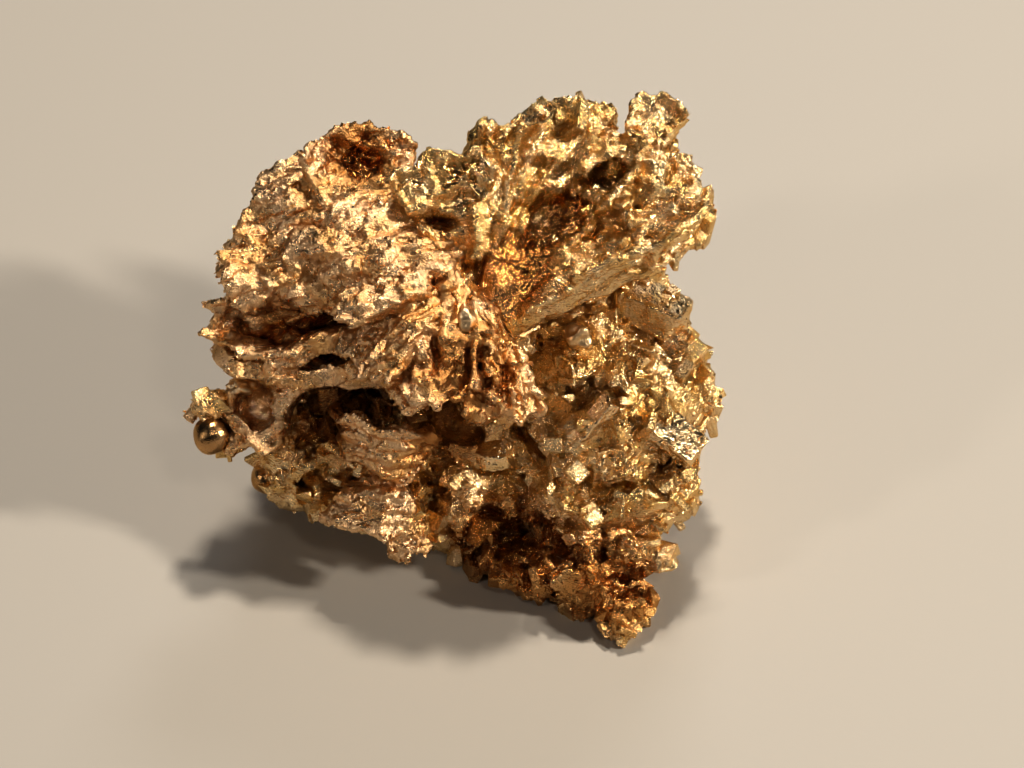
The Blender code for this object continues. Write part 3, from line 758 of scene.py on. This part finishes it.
# bands of leaf gold: the way that the band runs from its near edge, how wide, and that edge's path
bands = {
    "leftWing": {
        "wingRidge": dict(across=(0.1, 0.8, -0.4), width=1.5, thick=0.6, path=(
            (-11.2, 4.4, 1.2), (-10.0, 3.7, 1.9), (-8.5, 4.2, 2.6), (-7.4, 5.1, 3.0), (-6.0, 5.1, 3.6),
            (-4.4, 4.1, 4.3))),
    },
    "pocket": {
        "upperStrip": dict(across=(0.1, 0.2, -0.9), width=2.8, thick=0.9, path=(
            (-11.8, 0.7, 1.0), (-10.8, 0.0, 1.6), (-9.4, -0.5, 2.0), (-8.0, -0.2, 2.5), (-7.0, 0.6, 2.8),
            (-5.8, 1.0, 3.0), (-4.4, 1.1, 2.8))),
        "lowerStrip": dict(across=(0.1, 0.1, -0.9), width=3.0, thick=0.8, path=(
            (-8.5, -2.3, 1.4), (-8.0, -1.5, 1.9), (-7.0, -0.9, 2.5), (-5.3, -0.6, 3.1), (-4.0, 0.1, 3.6),
            (-2.6, 0.6, 4.0))),
        "curlRing": dict(across=(0.1, 0.0, -0.9), width=2.2, thick=0.55, path=(
            (-10.7, -0.7, 0.9), (-11.1, -2.0, 0.9), (-10.5, -3.3, 1.0), (-9.4, -3.8, 1.2),
            (-8.4, -3.1, 1.4), (-8.3, -1.9, 1.6))),
        "beadRim": dict(across=(0.0, 0.0, -0.9), width=1.3, thick=0.5, path=(
            (-13.0, -2.8, 0.3), (-12.5, -2.1, 0.6), (-11.7, -1.9, 0.8), (-11.0, -2.6, 0.8),
            (-10.8, -3.6, 0.6), (-11.2, -4.4, 0.3))),
    },
    "front": {
        "skirtRim": dict(across=(0.0, 0.8, -0.4), width=1.8, thick=0.6, path=(
            (-2.6, -2.0, 4.9), (-1.8, -2.4, 5.2), (-0.6, -1.7, 5.3), (0.5, -1.7, 5.3), (1.8, -2.3, 5.0),
            (2.9, -3.2, 4.4))),
    },
    "flutes": {
        "plateRim": dict(across=(0.0, 0.6, -0.8), width=2.4, thick=0.7, path=(
            (-2.6, 8.0, 3.2), (-1.2, 7.6, 3.7), (0.3, 8.2, 3.9), (1.3, 9.4, 3.5), (1.9, 10.7, 2.8))),
    },
    "rightWing": {
        "wingBand": dict(across=(-0.2, 0.8, -0.2), width=1.5, thick=0.7, pitted=True, path=(
            (2.7, 1.6, 3.6), (5.2, 3.3, 3.9), (7.6, 4.6, 3.9), (9.3, 4.7, 3.7), (11.0, 5.1, 3.4),
            (12.4, 6.0, 3.1), (12.8, 7.2, 2.7), (12.0, 8.2, 2.5))),
        "hollowArch": dict(across=(0.0, 0.1, -0.9), width=2.2, thick=0.6, path=(
            (6.6, 9.2, 3.2), (7.4, 10.2, 3.3), (9.0, 10.3, 3.3), (10.1, 9.8, 3.1), (10.2, 8.9, 3.1),
            (8.8, 8.2, 3.5), (7.3, 8.3, 3.5))),
    },
}
bandMake = {"step": 0.14, "ragged": 0.40, "wander": 0.24}  # mm

leafMake = {
    "step": 0.13,  # from one point of a sheet to the next, mm
    "rimWaves": 3.1,  # how often a rim wanders in and out,
    "tears": 0.9,  # how many small tears a millimetre of it has,
    "torn": (0.05, 0.05, 0.10, 0.12, 0.12),  # and how deep they are in each sheet, as shares of its length
    "swing": 0.2,  # how unevenly a leaf fans out
    "rippleLength": 1.7,  # mm
    # growth layer on growth layer: how far each sheet lies off, as a share of the leaf's thickness,
    # and its share of the leaf's reach
    "sheets": ((-0.24, 0.96), (0.12, 1.0), (0.46, 0.82), (0.78, 0.64), (1.08, 0.46)),
    "sheetThick": 0.34,  # share of the leaf's thickness
    "lip": 0.16,  # how far a sheet's rim stands off, mm
    "skin": 0.085,  # how fine the skin over a group of leaves is, mm
    "rimFrom": 0.88,  # the share of a leaf's reach from which it counts as rim
    "most": 185000,
}
# how each group of leaves grew: lines that a sheet has before it gets its thickness
growthLines = {
    "leftWing": (
        layer("strata", 1.8, 0.30, step=0.80, across=(0.3, -0.95, 0), wander=2.0),
        layer("strata", 1.1, 0.10, step=0.34, across=(0.3, -0.95, 0), wander=1.8),
        layer("crumple", 2.2, 0.06, where=(("calm", 1, 0.4),))),
    "pocket": (
        layer("terraces", 1.6, 0.12, step=1.1, wander=2.4),
        layer("crumple", 1.9, 0.12)),
    "front": (
        layer("feathers", 1.3, 0.20, step=0.36, along=0.45, lean=0.9, wander=0.4),
        layer("crumple", 1.8, 0.05)),
    "flutes": (
        layer("feathers", 1.4, 0.18, step=0.4, along=0.1, lean=1.0, wander=0.5),
        layer("crumple", 1.8, 0.14)),
    "rightWing": (
        layer("feathers", 1.8, 0.14, step=0.6, along=0.08, lean=1.0, wander=1.2, where=(("calm", 1, 0.4),)),
        layer("crumple", 1.6, 0.22, where=(("calm", 1, 0.3),))),
    "lowShells": (
        layer("terraces", 1.2, 0.22, step=0.6, wander=1.8),
        layer("crumple", 1.6, 0.20)),
    "backLeaves": (
        layer("terraces", 1.5, 0.22, step=0.8, wander=3.0),
        layer("crumple", 1.6, 0.36)),
}
# the wrinkled and grainy surface that all leaves share
leafRelief = (
    (layer("wrinkles", 1.1, 0.07, wander=0.7, short=0.26, long=1.8, lean=0.25, where=(("calm", 1, 0.3),),
           patch=(2.1, 0.3, 1)),
     layer("chips", 0.60, 0.08, where=(("calm", 1, 0), ("rim", 0.1, 1)))),
    (layer("crumple", 0.30, 0.022, shift=5.0, detail=2.0, where=(("calm", 1, 0.3),), patch=(1.5, 0.2, 1)),
     layer("grains", 0.22, 0.045, where=(("calm", 1, 0.1), ("rim", 0.1, 1)), patch=(1.8, 0, 1)),
     layer("pits", 0.55, 0.14, shift=2.0, where=(("calm", 1, 0.3),), patch=(2.6, 0, 1))),
)
yellowLeaves = ("flutes", "rightWing")  # the other leaves are pinkish
growthTrees = {group: reliefTree(group + "Lines", (layers,)) for group, layers in growthLines.items()}


def sheetObject(shape, flows):
    # flow is how far each point lies from the root, how far to the side, and its share of the reach
    sheet = newObject("sheet", shape)
    flow = sheet.data.attributes.new("flow", "FLOAT_VECTOR", "POINT")
    flow.data.foreach_set("vector", flows)
    return sheet


def sheetShape(leaf, number):
    lift, reachShare = leafMake["sheets"][number]
    lift *= leaf.thick * mm
    start = seen(*leaf.root)
    growing = seen(*leaf.tip) - start
    length = growing.length
    growing.normalize()
    outward = seenWay(*leaf.facing)
    outward -= growing * outward.dot(growing)
    outward.normalize()
    sideways = outward.cross(growing)
    halfAngle = math.radians(leaf.spread) / 2
    phase = Vector(leaf.tip)
    torn = phase + Vector((0, 0, number * 9.0))
    width = leaf.rootWidth * mm + 2 * length * math.sin(halfAngle)
    step = leafMake["step"] * mm

    shape = bmesh.new()
    columns, lines = int(length / step) + 2, int(width / step) + 2
    bmesh.ops.create_grid(shape, x_segments=columns, y_segments=lines, size=0.5)
    flows = []
    for vert in shape.verts:
        share = vert.co.x + 0.5  # from 0 at the root to 1 at the rim
        side = vert.co.y * 2  # from -1 to 1 across the leaf
        ragged = noise.noise(Vector((side * leafMake["rimWaves"], 0, 0)) + phase) * leaf.ragged
        ragged += 1 - leaf.round * side * side
        ragged -= (leaf.leftCut * (1 + side) ** 2 + leaf.rightCut * (1 - side) ** 2) / 4
        tear = noise.noise(Vector((side * width / mm * leafMake["tears"], 0, 0)) + torn)
        ragged += leafMake["torn"][number] * tear
        reach = share * length * ragged * reachShare
        swing = leafMake["swing"] * noise.noise(Vector((share * 3, side, 0)) + phase)
        angle = side * halfAngle * (1 + swing)
        flat = (
            start
            + sideways * side * leaf.rootWidth * mm / 2
            + growing * math.cos(angle) * reach
            + sideways * math.sin(angle) * reach
        )
        ripple = noise.noise((flat + middle) / mm / leafMake["rippleLength"]) * (leaf.ripple * mm)
        bend = length * share * reachShare * (leaf.bow * share * reachShare + leaf.cup * side * side)
        stacked = lift * min(1, 0.3 + 1.4 * share * reachShare) + leafMake["lip"] * mm * share ** 6
        vert.co = flat + outward * (bend + ripple + stacked)
        flows += (reach / mm, side * width / mm / 2, share)
    return sheetObject(shape, flows)


def pathPoint(path, share):
    # the place at a share of a smooth path through the given places
    last = len(path) - 1
    step = min(int(share * last), last - 1)
    t = share * last - step
    before, start, end, after = (Vector(path[min(max(step + k, 0), last)]) for k in (-1, 0, 1, 2))
    return 0.5 * (2 * start + (end - before) * t + (2 * before - 5 * start + 4 * end - after) * t ** 2
                  + (3 * start - before - 3 * end + after) * t ** 3)


def bandShape(path, across, width, thick, pitted=False):
    sideways = seenWay(*across).normalized()
    length = sum((Vector(end) - Vector(start)).length for start, end in zip(path, path[1:]))
    columns, lines = int(length / bandMake["step"]), int(width / bandMake["step"])
    shape = bmesh.new()
    bmesh.ops.create_grid(shape, x_segments=columns, y_segments=lines, size=0.5)
    flows = []
    for vert in shape.verts:
        share = vert.co.x + 0.5  # from 0 to 1 along the path
        depth = vert.co.y + 0.5  # from 0 at the near edge to 1 at the far one
        edge = seen(*pathPoint(path, share))
        ragged = bandMake["ragged"] * noise.noise((edge + middle) / mm * 1.3) * (1 - depth)
        vert.co = edge + sideways * (depth * width + ragged) * mm
        vert.co += noise.noise_vector((vert.co + middle) / mm) * bandMake["wander"] * mm
        flows += ((1 - depth) * width, (share - 0.5) * length, 1 - depth)
    band = sheetObject(shape, flows)
    if pitted:
        hollow(band, leafHollows)
    return band


def thicken(sheet, group, thick):
    markGround(sheet)
    lines = sheet.modifiers.new("lines", "NODES")
    lines.node_group = growthTrees[group]
    solid = sheet.modifiers.new("thickness", "SOLIDIFY")
    solid.thickness = thick
    solid.offset = 0
    settle(sheet)
    return sheet


def joinSheets(name, sheets):
    together = bmesh.new()
    for sheet in sheets:
        together.from_mesh(sheet.data)
        bpy.data.objects.remove(sheet)
    bmesh.ops.recalc_face_normals(together, faces=together.faces)
    return newObject(name, together)


def fuse(piece):
    # one skin over the leaves, on which each point still knows its place on its leaf
    before = bpy.data.objects.new("before", piece.data)
    scene.collection.objects.link(before)
    oneSkin(piece, leafMake["skin"])
    tree = newTree(piece.name + "Flow")
    nodes = Nodes(tree)
    vectors = {"data_type": "FLOAT_VECTOR"}
    shape = nodes.new("NodeGroupInput").outputs["Geometry"]
    source = nodes.new("GeometryNodeObjectInfo", {"transform_space": "RELATIVE"}, Object=before)
    nearest = nodes.new("GeometryNodeSampleNearestSurface", vectors, Mesh=source.outputs["Geometry"],
                        Value=nodes.attribute("flow", "FLOAT_VECTOR"))
    store = nodes.new("GeometryNodeStoreNamedAttribute", {**vectors, "domain": "POINT"},
                      Geometry=shape, Name="flow", Value=nearest.outputs["Value"])
    nodes.new("NodeGroupOutput", Geometry=store.outputs["Geometry"])
    flow = piece.modifiers.new("flow", "NODES")
    flow.node_group = tree
    settle(piece)
    bpy.data.objects.remove(before)


def markRims(piece):
    # 1 along a leaf's rim and sides, 0 on its face
    share = rows(piece.data.attributes["flow"].data, "vector")[:, 2]
    rim = leafMake["rimFrom"]
    markPoints(piece, "rim", np.clip((share - rim) / (1 - rim), 0, 1))


def growLeaves(group):
    sheets = []
    for leaf in leaves[group].values():
        for number in range(leaf.layers):
            sheet = sheetShape(leaf, number)
            hollow(sheet, leafHollows)
            sheets.append(thicken(sheet, group, leafMake["sheetThick"] * leaf.thick * mm))
    for band in bands.get(group, {}).values():
        sheets.append(thicken(bandShape(**band), group, band["thick"] * mm))
    piece = joinSheets(group, sheets)
    fuse(piece)
    markGround(piece)
    markRims(piece)
    carve(piece, leafRelief)
    thinTo(piece, leafMake["most"])
    keepAbove(piece)
    shade(piece, 55)
    dress(piece, gold["body" if group in yellowLeaves else "leaf"])


for group in leaves:
    growLeaves(group)
print("leaves grown")


# single crystals that stand out: place, size along three edges, the way the first edge runs,
# the way that the third faces, and how many sides it has

largeCrystals = {
    "rightBlock": dict(at=(10.1, 2.8, 0.2), size=(3.4, 2.4, 1.7), along=(0.86, -0.42, 0.1),
                       facing=(0.15, 0.88, 0.45), sides=4),
    "rightScale": dict(at=(11.1, -3.4, 1.2), size=(3.2, 2.0, 0.6), along=(0.8, -0.6, 0.0),
                       facing=(0.2, 0.6, 0.8), sides=4),
    "bodyBlade": dict(at=(7.2, -2.8, 2.8), size=(2.6, 0.9, 0.8), along=(0.62, 0.72, 0.3),
                      facing=(-0.3, 0.5, 0.8), sides=4),
    "sixSidedPlate": dict(at=(2.2, -4.4, 2.2), size=(1.6, 1.5, 0.8), along=(0.9, 0.2, 0.0),
                          facing=(-0.1, 0.7, 0.7), sides=6),
    "bodyCrystal": dict(at=(6.4, 1.5, 1.7), size=(1.3, 1.1, 1.2), along=(0.7, 0.7, 0.0),
                        facing=(-0.1, 0.6, 0.8), sides=4),
}
largeMake = {"edge": 0.07, "askew": 0.30, "skin": 0.07}  # shares of the crystal, and the skin in mm
largeRelief = (
    (layer("waves", 0.9, 0.10),
     layer("chips", 0.7, 0.05, patch=(1.6, 0, 1)),
     layer("pits", 0.45, 0.14, shift=2.0, patch=(1.2, 0, 1))),
    (layer("crumple", 0.30, 0.03, patch=(1.0, 0.2, 1)),),
)


def largeShape(at, size, along, facing, sides):
    lengthways = seenWay(*along).normalized()
    outward = seenWay(*facing)
    outward -= lengthways * outward.dot(lengthways)
    outward.normalize()
    across = outward.cross(lengthways)
    shape = bmesh.new()
    corner = 0.5 / math.cos(math.pi / sides)  # so that its flat sides are 1 apart
    bmesh.ops.create_cone(shape, cap_ends=True, segments=sides, radius1=corner, radius2=corner, depth=1.0)
    bmesh.ops.rotate(shape, matrix=Matrix.Rotation(math.pi / sides, 3, "Z"), verts=shape.verts)
    for vert in shape.verts:  # no corner is quite where a perfect crystal has it
        vert.co += largeMake["askew"] * noise.noise_vector(vert.co * 2 + Vector(at))
    bevelEdges(shape, largeMake["edge"])
    place = seen(*at)
    for vert in shape.verts:
        a, b, c = (share * edge * mm for share, edge in zip(vert.co, size))
        vert.co = place + lengthways * a + across * b + outward * c
    bmesh.ops.recalc_face_normals(shape, faces=shape.faces)
    return shape


def growLargeCrystals():
    piece = joinShapes("largeCrystals", [largeShape(**row) for row in largeCrystals.values()])
    oneSkin(piece, largeMake["skin"])
    settle(piece)
    markGround(piece)
    carve(piece, largeRelief)
    shade(piece, 35)
    dress(piece, gold["crystal"])


growLargeCrystals()


# beads of smooth gold, drawn out a little, their colour painted dark as a painted dark reflection

beads = {
    "leftBead": dict(at=(-11.9, -3.5, 0.3), radius=0.92, stretch=(1.0, 1.08, 1.0), dent=0.10),
    "lowBead": dict(at=(-9.3, -5.7, -2.8), radius=0.85, stretch=(1.0, 1.0, 1.1), dent=0.10),
}
# and dented knobs of satin gold
knobs = {
    "heartKnob": dict(at=(0.9, 2.2, 5.3), radius=0.50, stretch=(0.9, 1.4, 0.9), dent=0.40),
    "bodyKnob": dict(at=(6.4, 1.4, 2.5), radius=0.55, stretch=(1.2, 1.1, 0.9), dent=0.60),
    "curlKnob": dict(at=(-10.3, -1.1, 0.9), radius=0.45, stretch=(1.5, 0.9, 1.0), dent=0.60),
}
beadRoundness = 5  # subdivisions


def beadShape(at, radius, stretch, dent):
    shape = bmesh.new()
    bmesh.ops.create_icosphere(shape, subdivisions=beadRoundness, radius=1.0)
    phase = Vector(at)
    for vert in shape.verts:
        ball = vert.co * (1 + dent * noise.noise(vert.co * 1.1 + phase))
        vert.co = seen(*(a + b * c * radius for a, b, c in zip(at, ball, stretch)))
    bmesh.ops.recalc_face_normals(shape, faces=shape.faces)
    return shape


def growBeads(name, balls, material):
    piece = joinShapes(name, [beadShape(**ball) for ball in balls.values()])
    piece.data.shade_smooth()
    dress(piece, material)


growBeads("beads", beads, gold["mirror"])
growBeads("knobs", knobs, gold["satin"])
print("crystals and beads grown")


# medium crystals and sugary grain, scattered over the body and the leaves: their radii in mm, how rare
# the large ones are, how they are stretched, and how far each is sunk in, as a share of its radius

flakeForms = ("shardH", "shardI", "shardJ", "shardK")
grains = {
    "rubble": {"sizes": (0.22, 0.85), "edge": 0.10, "sparse": 1.3, "squash": (0.55, 1.3), "sink": 0.6,
               "patch": (2.6, 0.4, 1),
               "forms": ("block", "blade", "shardA", "shardB", "shardC", "shardD", "shardE")},
    "crystal": {"sizes": (0.12, 0.28), "edge": 0.16, "sparse": 1.6, "squash": (0.6, 1.2), "sink": 0.2,
                "patch": (2.2, 0, 1), "forms": ("cube", "octahedron", "shardA", "shardF", "shardG")},
    "sugar": {"sizes": (0.05, 0.11), "edge": 0.0, "sparse": 1.4, "squash": (0.7, 1.3), "sink": 0.1,
              "patch": (1.4, 0, 1), "forms": ("cube", "octahedron")},
    # narrow flakes that lie on the leaves like shingles, with their outer edge raised: across the growth
    "flake": {"sizes": (0.09, 0.34), "edge": 0.0, "sparse": 1.8, "squash": (0.7, 1.2), "sink": 0.05,
              "patch": (1.7, 0.1, 1), "forms": flakeForms, "sides": (0.5, 1.5, 0.22),
              "lean": ((-0.2, -0.40, -0.35), (0.2, -0.05, 0.35)), "across": (0.3, -0.95, 0)},
    # and along it, a little to one side or the other
    "sliver": {"sizes": (0.09, 0.30), "edge": 0.0, "sparse": 1.8, "squash": (0.7, 1.2), "sink": 0.05,
               "patch": (1.7, 0.1, 1), "forms": flakeForms, "sides": (1.5, 0.5, 0.22),
               "lean": ((-0.35, -0.25, -0.6), (0.35, 0.0, 0.6))},
}
# how many grains go with the ground, from none of its mark to all of it, and on each piece, how many
# to the square millimetre
grainBeds = (
    ("rubble", ("calm", 1, 0.1),
     {"bodyRight": 2.6, "bodyToe": 2.6, "bodyCrown": 2.0, "bodyLeft": 1.8, "bodyBack": 1.2}),
    ("rubble", ("crowded", 0, 1), {"rightWing": 0.8}),
    ("rubble", ("calm", 1, 0.1), {"largeCrystals": 0.2}),
    ("sugar", ("calm", 1, 0.1), {"largeCrystals": 3.0}),
    ("flake", ("calm", 1, 0.15), {"leftWing": 9.0}),
    ("sliver", ("calm", 1, 0.0), {"pocket": 8.0}),
    ("sliver", ("calm", 1, 0.1), {"front": 4.0}),
    ("sliver", ("calm", 1, 0.15), {"flutes": 8.0}),
    ("sliver", ("calm", 1, 0.03), {"rightWing": 7.0}),
    ("sliver", ("calm", 1, 0.15), {"lowShells": 8.0}),
    ("flake", ("calm", 1, 0.15), {"backLeaves": 5.0}),
    ("crystal", ("calm", 1, 0.1), {"bodyRight": 2.0, "bodyToe": 2.0, "bodyCrown": 1.6, "bodyLeft": 1.0}),
    ("sugar", ("calm", 1, 0.1), {"bodyRight": 6.0, "bodyToe": 6.0, "bodyCrown": 6.0, "bodyLeft": 3.0}),
    ("sugar", ("rim", 0, 1),
     {"leftWing": 8.0, "pocket": 8.0, "front": 8.0, "flutes": 8.0, "rightWing": 8.0, "lowShells": 8.0}),
)
fewOnRims = (1.0, 0.1)  # of the leaning grains, with which the rims would bristle


def grainShapes(kind):
    # one of each shape, kept apart while the grains are scattered
    look = grains[kind]
    shelf = bpy.data.collections.new(kind + "Shapes")
    for form in look["forms"]:
        grain = newObject(kind + form, crystalShape(form, mm, look["edge"]))
        scene.collection.objects.unlink(grain)
        shelf.objects.link(grain)
    return shelf


def scatterTree(name, look, shelf, where, density, seed):
    tree = newTree(name)
    nodes = Nodes(tree)
    surface = nodes.new("NodeGroupInput").outputs["Geometry"]
    place = nodes.position()

    def chance(number, ends=(), kind="FLOAT_VECTOR"):
        node = nodes.new("FunctionNodeRandomValue", {"data_type": kind}, Seed=seed + number)
        for end, value in zip(("Min", "Max"), ends):
            nodes.put(node.inputs[end], value)
        return node.outputs["Value"]

    mark, low, high = where
    crowd = nodes.times(nodes.mapped(nodes.attribute(mark), low, high), density / (mm * mm))
    crowd = nodes.times(crowd, patchShare(nodes, place, *look["patch"]))
    if "lean" in look:
        crowd = nodes.times(crowd, nodes.mapped(nodes.attribute("rim"), *fewOnRims))
    spots = nodes.new("GeometryNodeDistributePointsOnFaces", {"distribute_method": "RANDOM"},
                      Mesh=surface, Density=crowd, Seed=seed)
    turned = chance(1, look.get("lean", ((0,) * 3, (math.tau,) * 3)))
    if "lean" in look:  # laid on the surface, with the first edge away from the heart or the given way
        if "across" in look:
            outwards = tuple(seenWay(*look["across"]))
        else:
            outwards = nodes.vector("SUBTRACT", place, tuple(heart))
        along = nodes.new("FunctionNodeAlignRotationToVector", {"axis": "X", "pivot_axis": "Z"},
                          Rotation=spots.outputs["Rotation"], Vector=outwards)
        leaning = nodes.new("FunctionNodeRotateRotation", {"rotation_space": "LOCAL"},
                            Rotation=along.outputs["Rotation"], Rotate_By=turned)
        turned = leaning.outputs["Rotation"]
    sides = look.get("sides", (1, 1, 1))
    form = chance(2, [[squash * side for side in sides] for squash in look["squash"]])
    rare = nodes.number("POWER", chance(3, kind="FLOAT"), look["sparse"])
    least, most = look["sizes"]
    radius = nodes.timesPlus(rare, most - least, least)
    down = nodes.times(radius, -look["sink"] * mm)
    sunk = nodes.new("GeometryNodeSetPosition", Geometry=spots.outputs["Points"],
                     Offset=nodes.scaled(spots.outputs["Normal"], down))
    shapes = nodes.new("GeometryNodeCollectionInfo", Collection=shelf, Separate_Children=True,
                       Reset_Children=True)
    stand = nodes.new("GeometryNodeInstanceOnPoints", Points=sunk.outputs["Geometry"],
                      Instance=shapes.outputs["Instances"], Pick_Instance=True,
                      Rotation=turned, Scale=nodes.scaled(form, radius))
    real = nodes.new("GeometryNodeRealizeInstances", Geometry=stand.outputs["Instances"])
    nodes.new("NodeGroupOutput", Geometry=real.outputs["Geometry"])
    return tree


def scatter(kind, host, *bed):
    name = kind + host.name[0].upper() + host.name[1:]
    piece = bpy.data.objects.new(name, host.data.copy())
    scene.collection.objects.link(piece)
    spread = piece.modifiers.new("scatter", "NODES")
    spread.node_group = scatterTree(name, grains[kind], *bed)
    settle(piece)
    keepAbove(piece)
    dress(piece, gold["crystal"] if kind in ("crystal", "sugar") else host.data.materials[0])


def scatterGrains():
    shelves = {kind: grainShapes(kind) for kind in grains}
    seed = 0
    for kind, where, hosts in grainBeds:
        for host, density in hosts.items():
            scatter(kind, bpy.data.objects[host], shelves[kind], where, density, seed)
            seed += 10
    for shelf in shelves.values():
        for grain in list(shelf.objects):
            bpy.data.objects.remove(grain)
        bpy.data.collections.remove(shelf)


scatterGrains()
print("grains scattered")


# floor, light and camera

floor = {"size": 1.6, "colour": (0.50, 0.46, 0.41, 1), "rough": 0.6}
lights = {
    "keyLight": {"at": (0.02, 0.11, 0.34), "size": 0.036, "power": 0.88, "colour": (1.0, 0.93, 0.82)},
    "leftLight": {"at": (-0.26, -0.16, 0.16), "size": 0.03, "power": 0.18, "colour": (1.0, 0.94, 0.86)},
    "rightLight": {"at": (0.31, -0.10, 0.19), "size": 0.03, "power": 1.15, "colour": (1.0, 0.95, 0.86)},
    "frontLight": {"at": (0.08, -0.24, 0.29), "size": 0.03, "power": 0.14, "colour": (1.0, 0.92, 0.80)},
    "backLight": {"at": (0.06, 0.30, 0.24), "size": 0.12, "power": 0.30, "colour": (0.93, 0.96, 1.0)},
}
roomLight = (0.02, 0.02, 0.022, 1)
cameraView = {"distance": 180 * mm, "aim": (3.1, -0.95, 0.0), "lens": 126.6}
viewGamma = 0.78


def makeFloor():
    shape = bmesh.new()
    bmesh.ops.create_grid(shape, x_segments=2, y_segments=2, size=floor["size"] / 2)
    plane = newObject("floor", shape)
    material = bpy.data.materials.new("paleFloor")
    material.use_nodes = True
    shader = material.node_tree.nodes["Principled BSDF"]
    shader.inputs["Base Color"].default_value = floor["colour"]
    shader.inputs["Roughness"].default_value = floor["rough"]
    plane.data.materials.append(material)


def makeLights():
    world = bpy.data.worlds.new("studio")
    world.use_nodes = True
    world.node_tree.nodes["Background"].inputs["Color"].default_value = roomLight
    scene.world = world
    for name, row in lights.items():
        lamp = bpy.data.lights.new(name, "AREA")
        lamp.size, lamp.energy, lamp.color = row["size"], row["power"], row["colour"]
        holder = bpy.data.objects.new(name, lamp)
        holder.location = row["at"]
        holder.rotation_euler = (heart - holder.location).to_track_quat("-Z", "Y").to_euler()
        scene.collection.objects.link(holder)


def makeCamera():
    camera = bpy.data.objects.new("camera", bpy.data.cameras.new("camera"))
    camera.data.lens = cameraView["lens"]
    camera.data.clip_start = 1 * mm
    away = seenWay(0, 0, 1)
    camera.location = seen(*cameraView["aim"]) + away * cameraView["distance"]
    camera.rotation_euler = away.to_track_quat("Z", "Y").to_euler()
    scene.collection.objects.link(camera)
    scene.camera = camera


makeFloor()
makeLights()
makeCamera()
scene.view_settings.view_transform = "Standard"
scene.view_settings.gamma = viewGamma
print("stage ready")
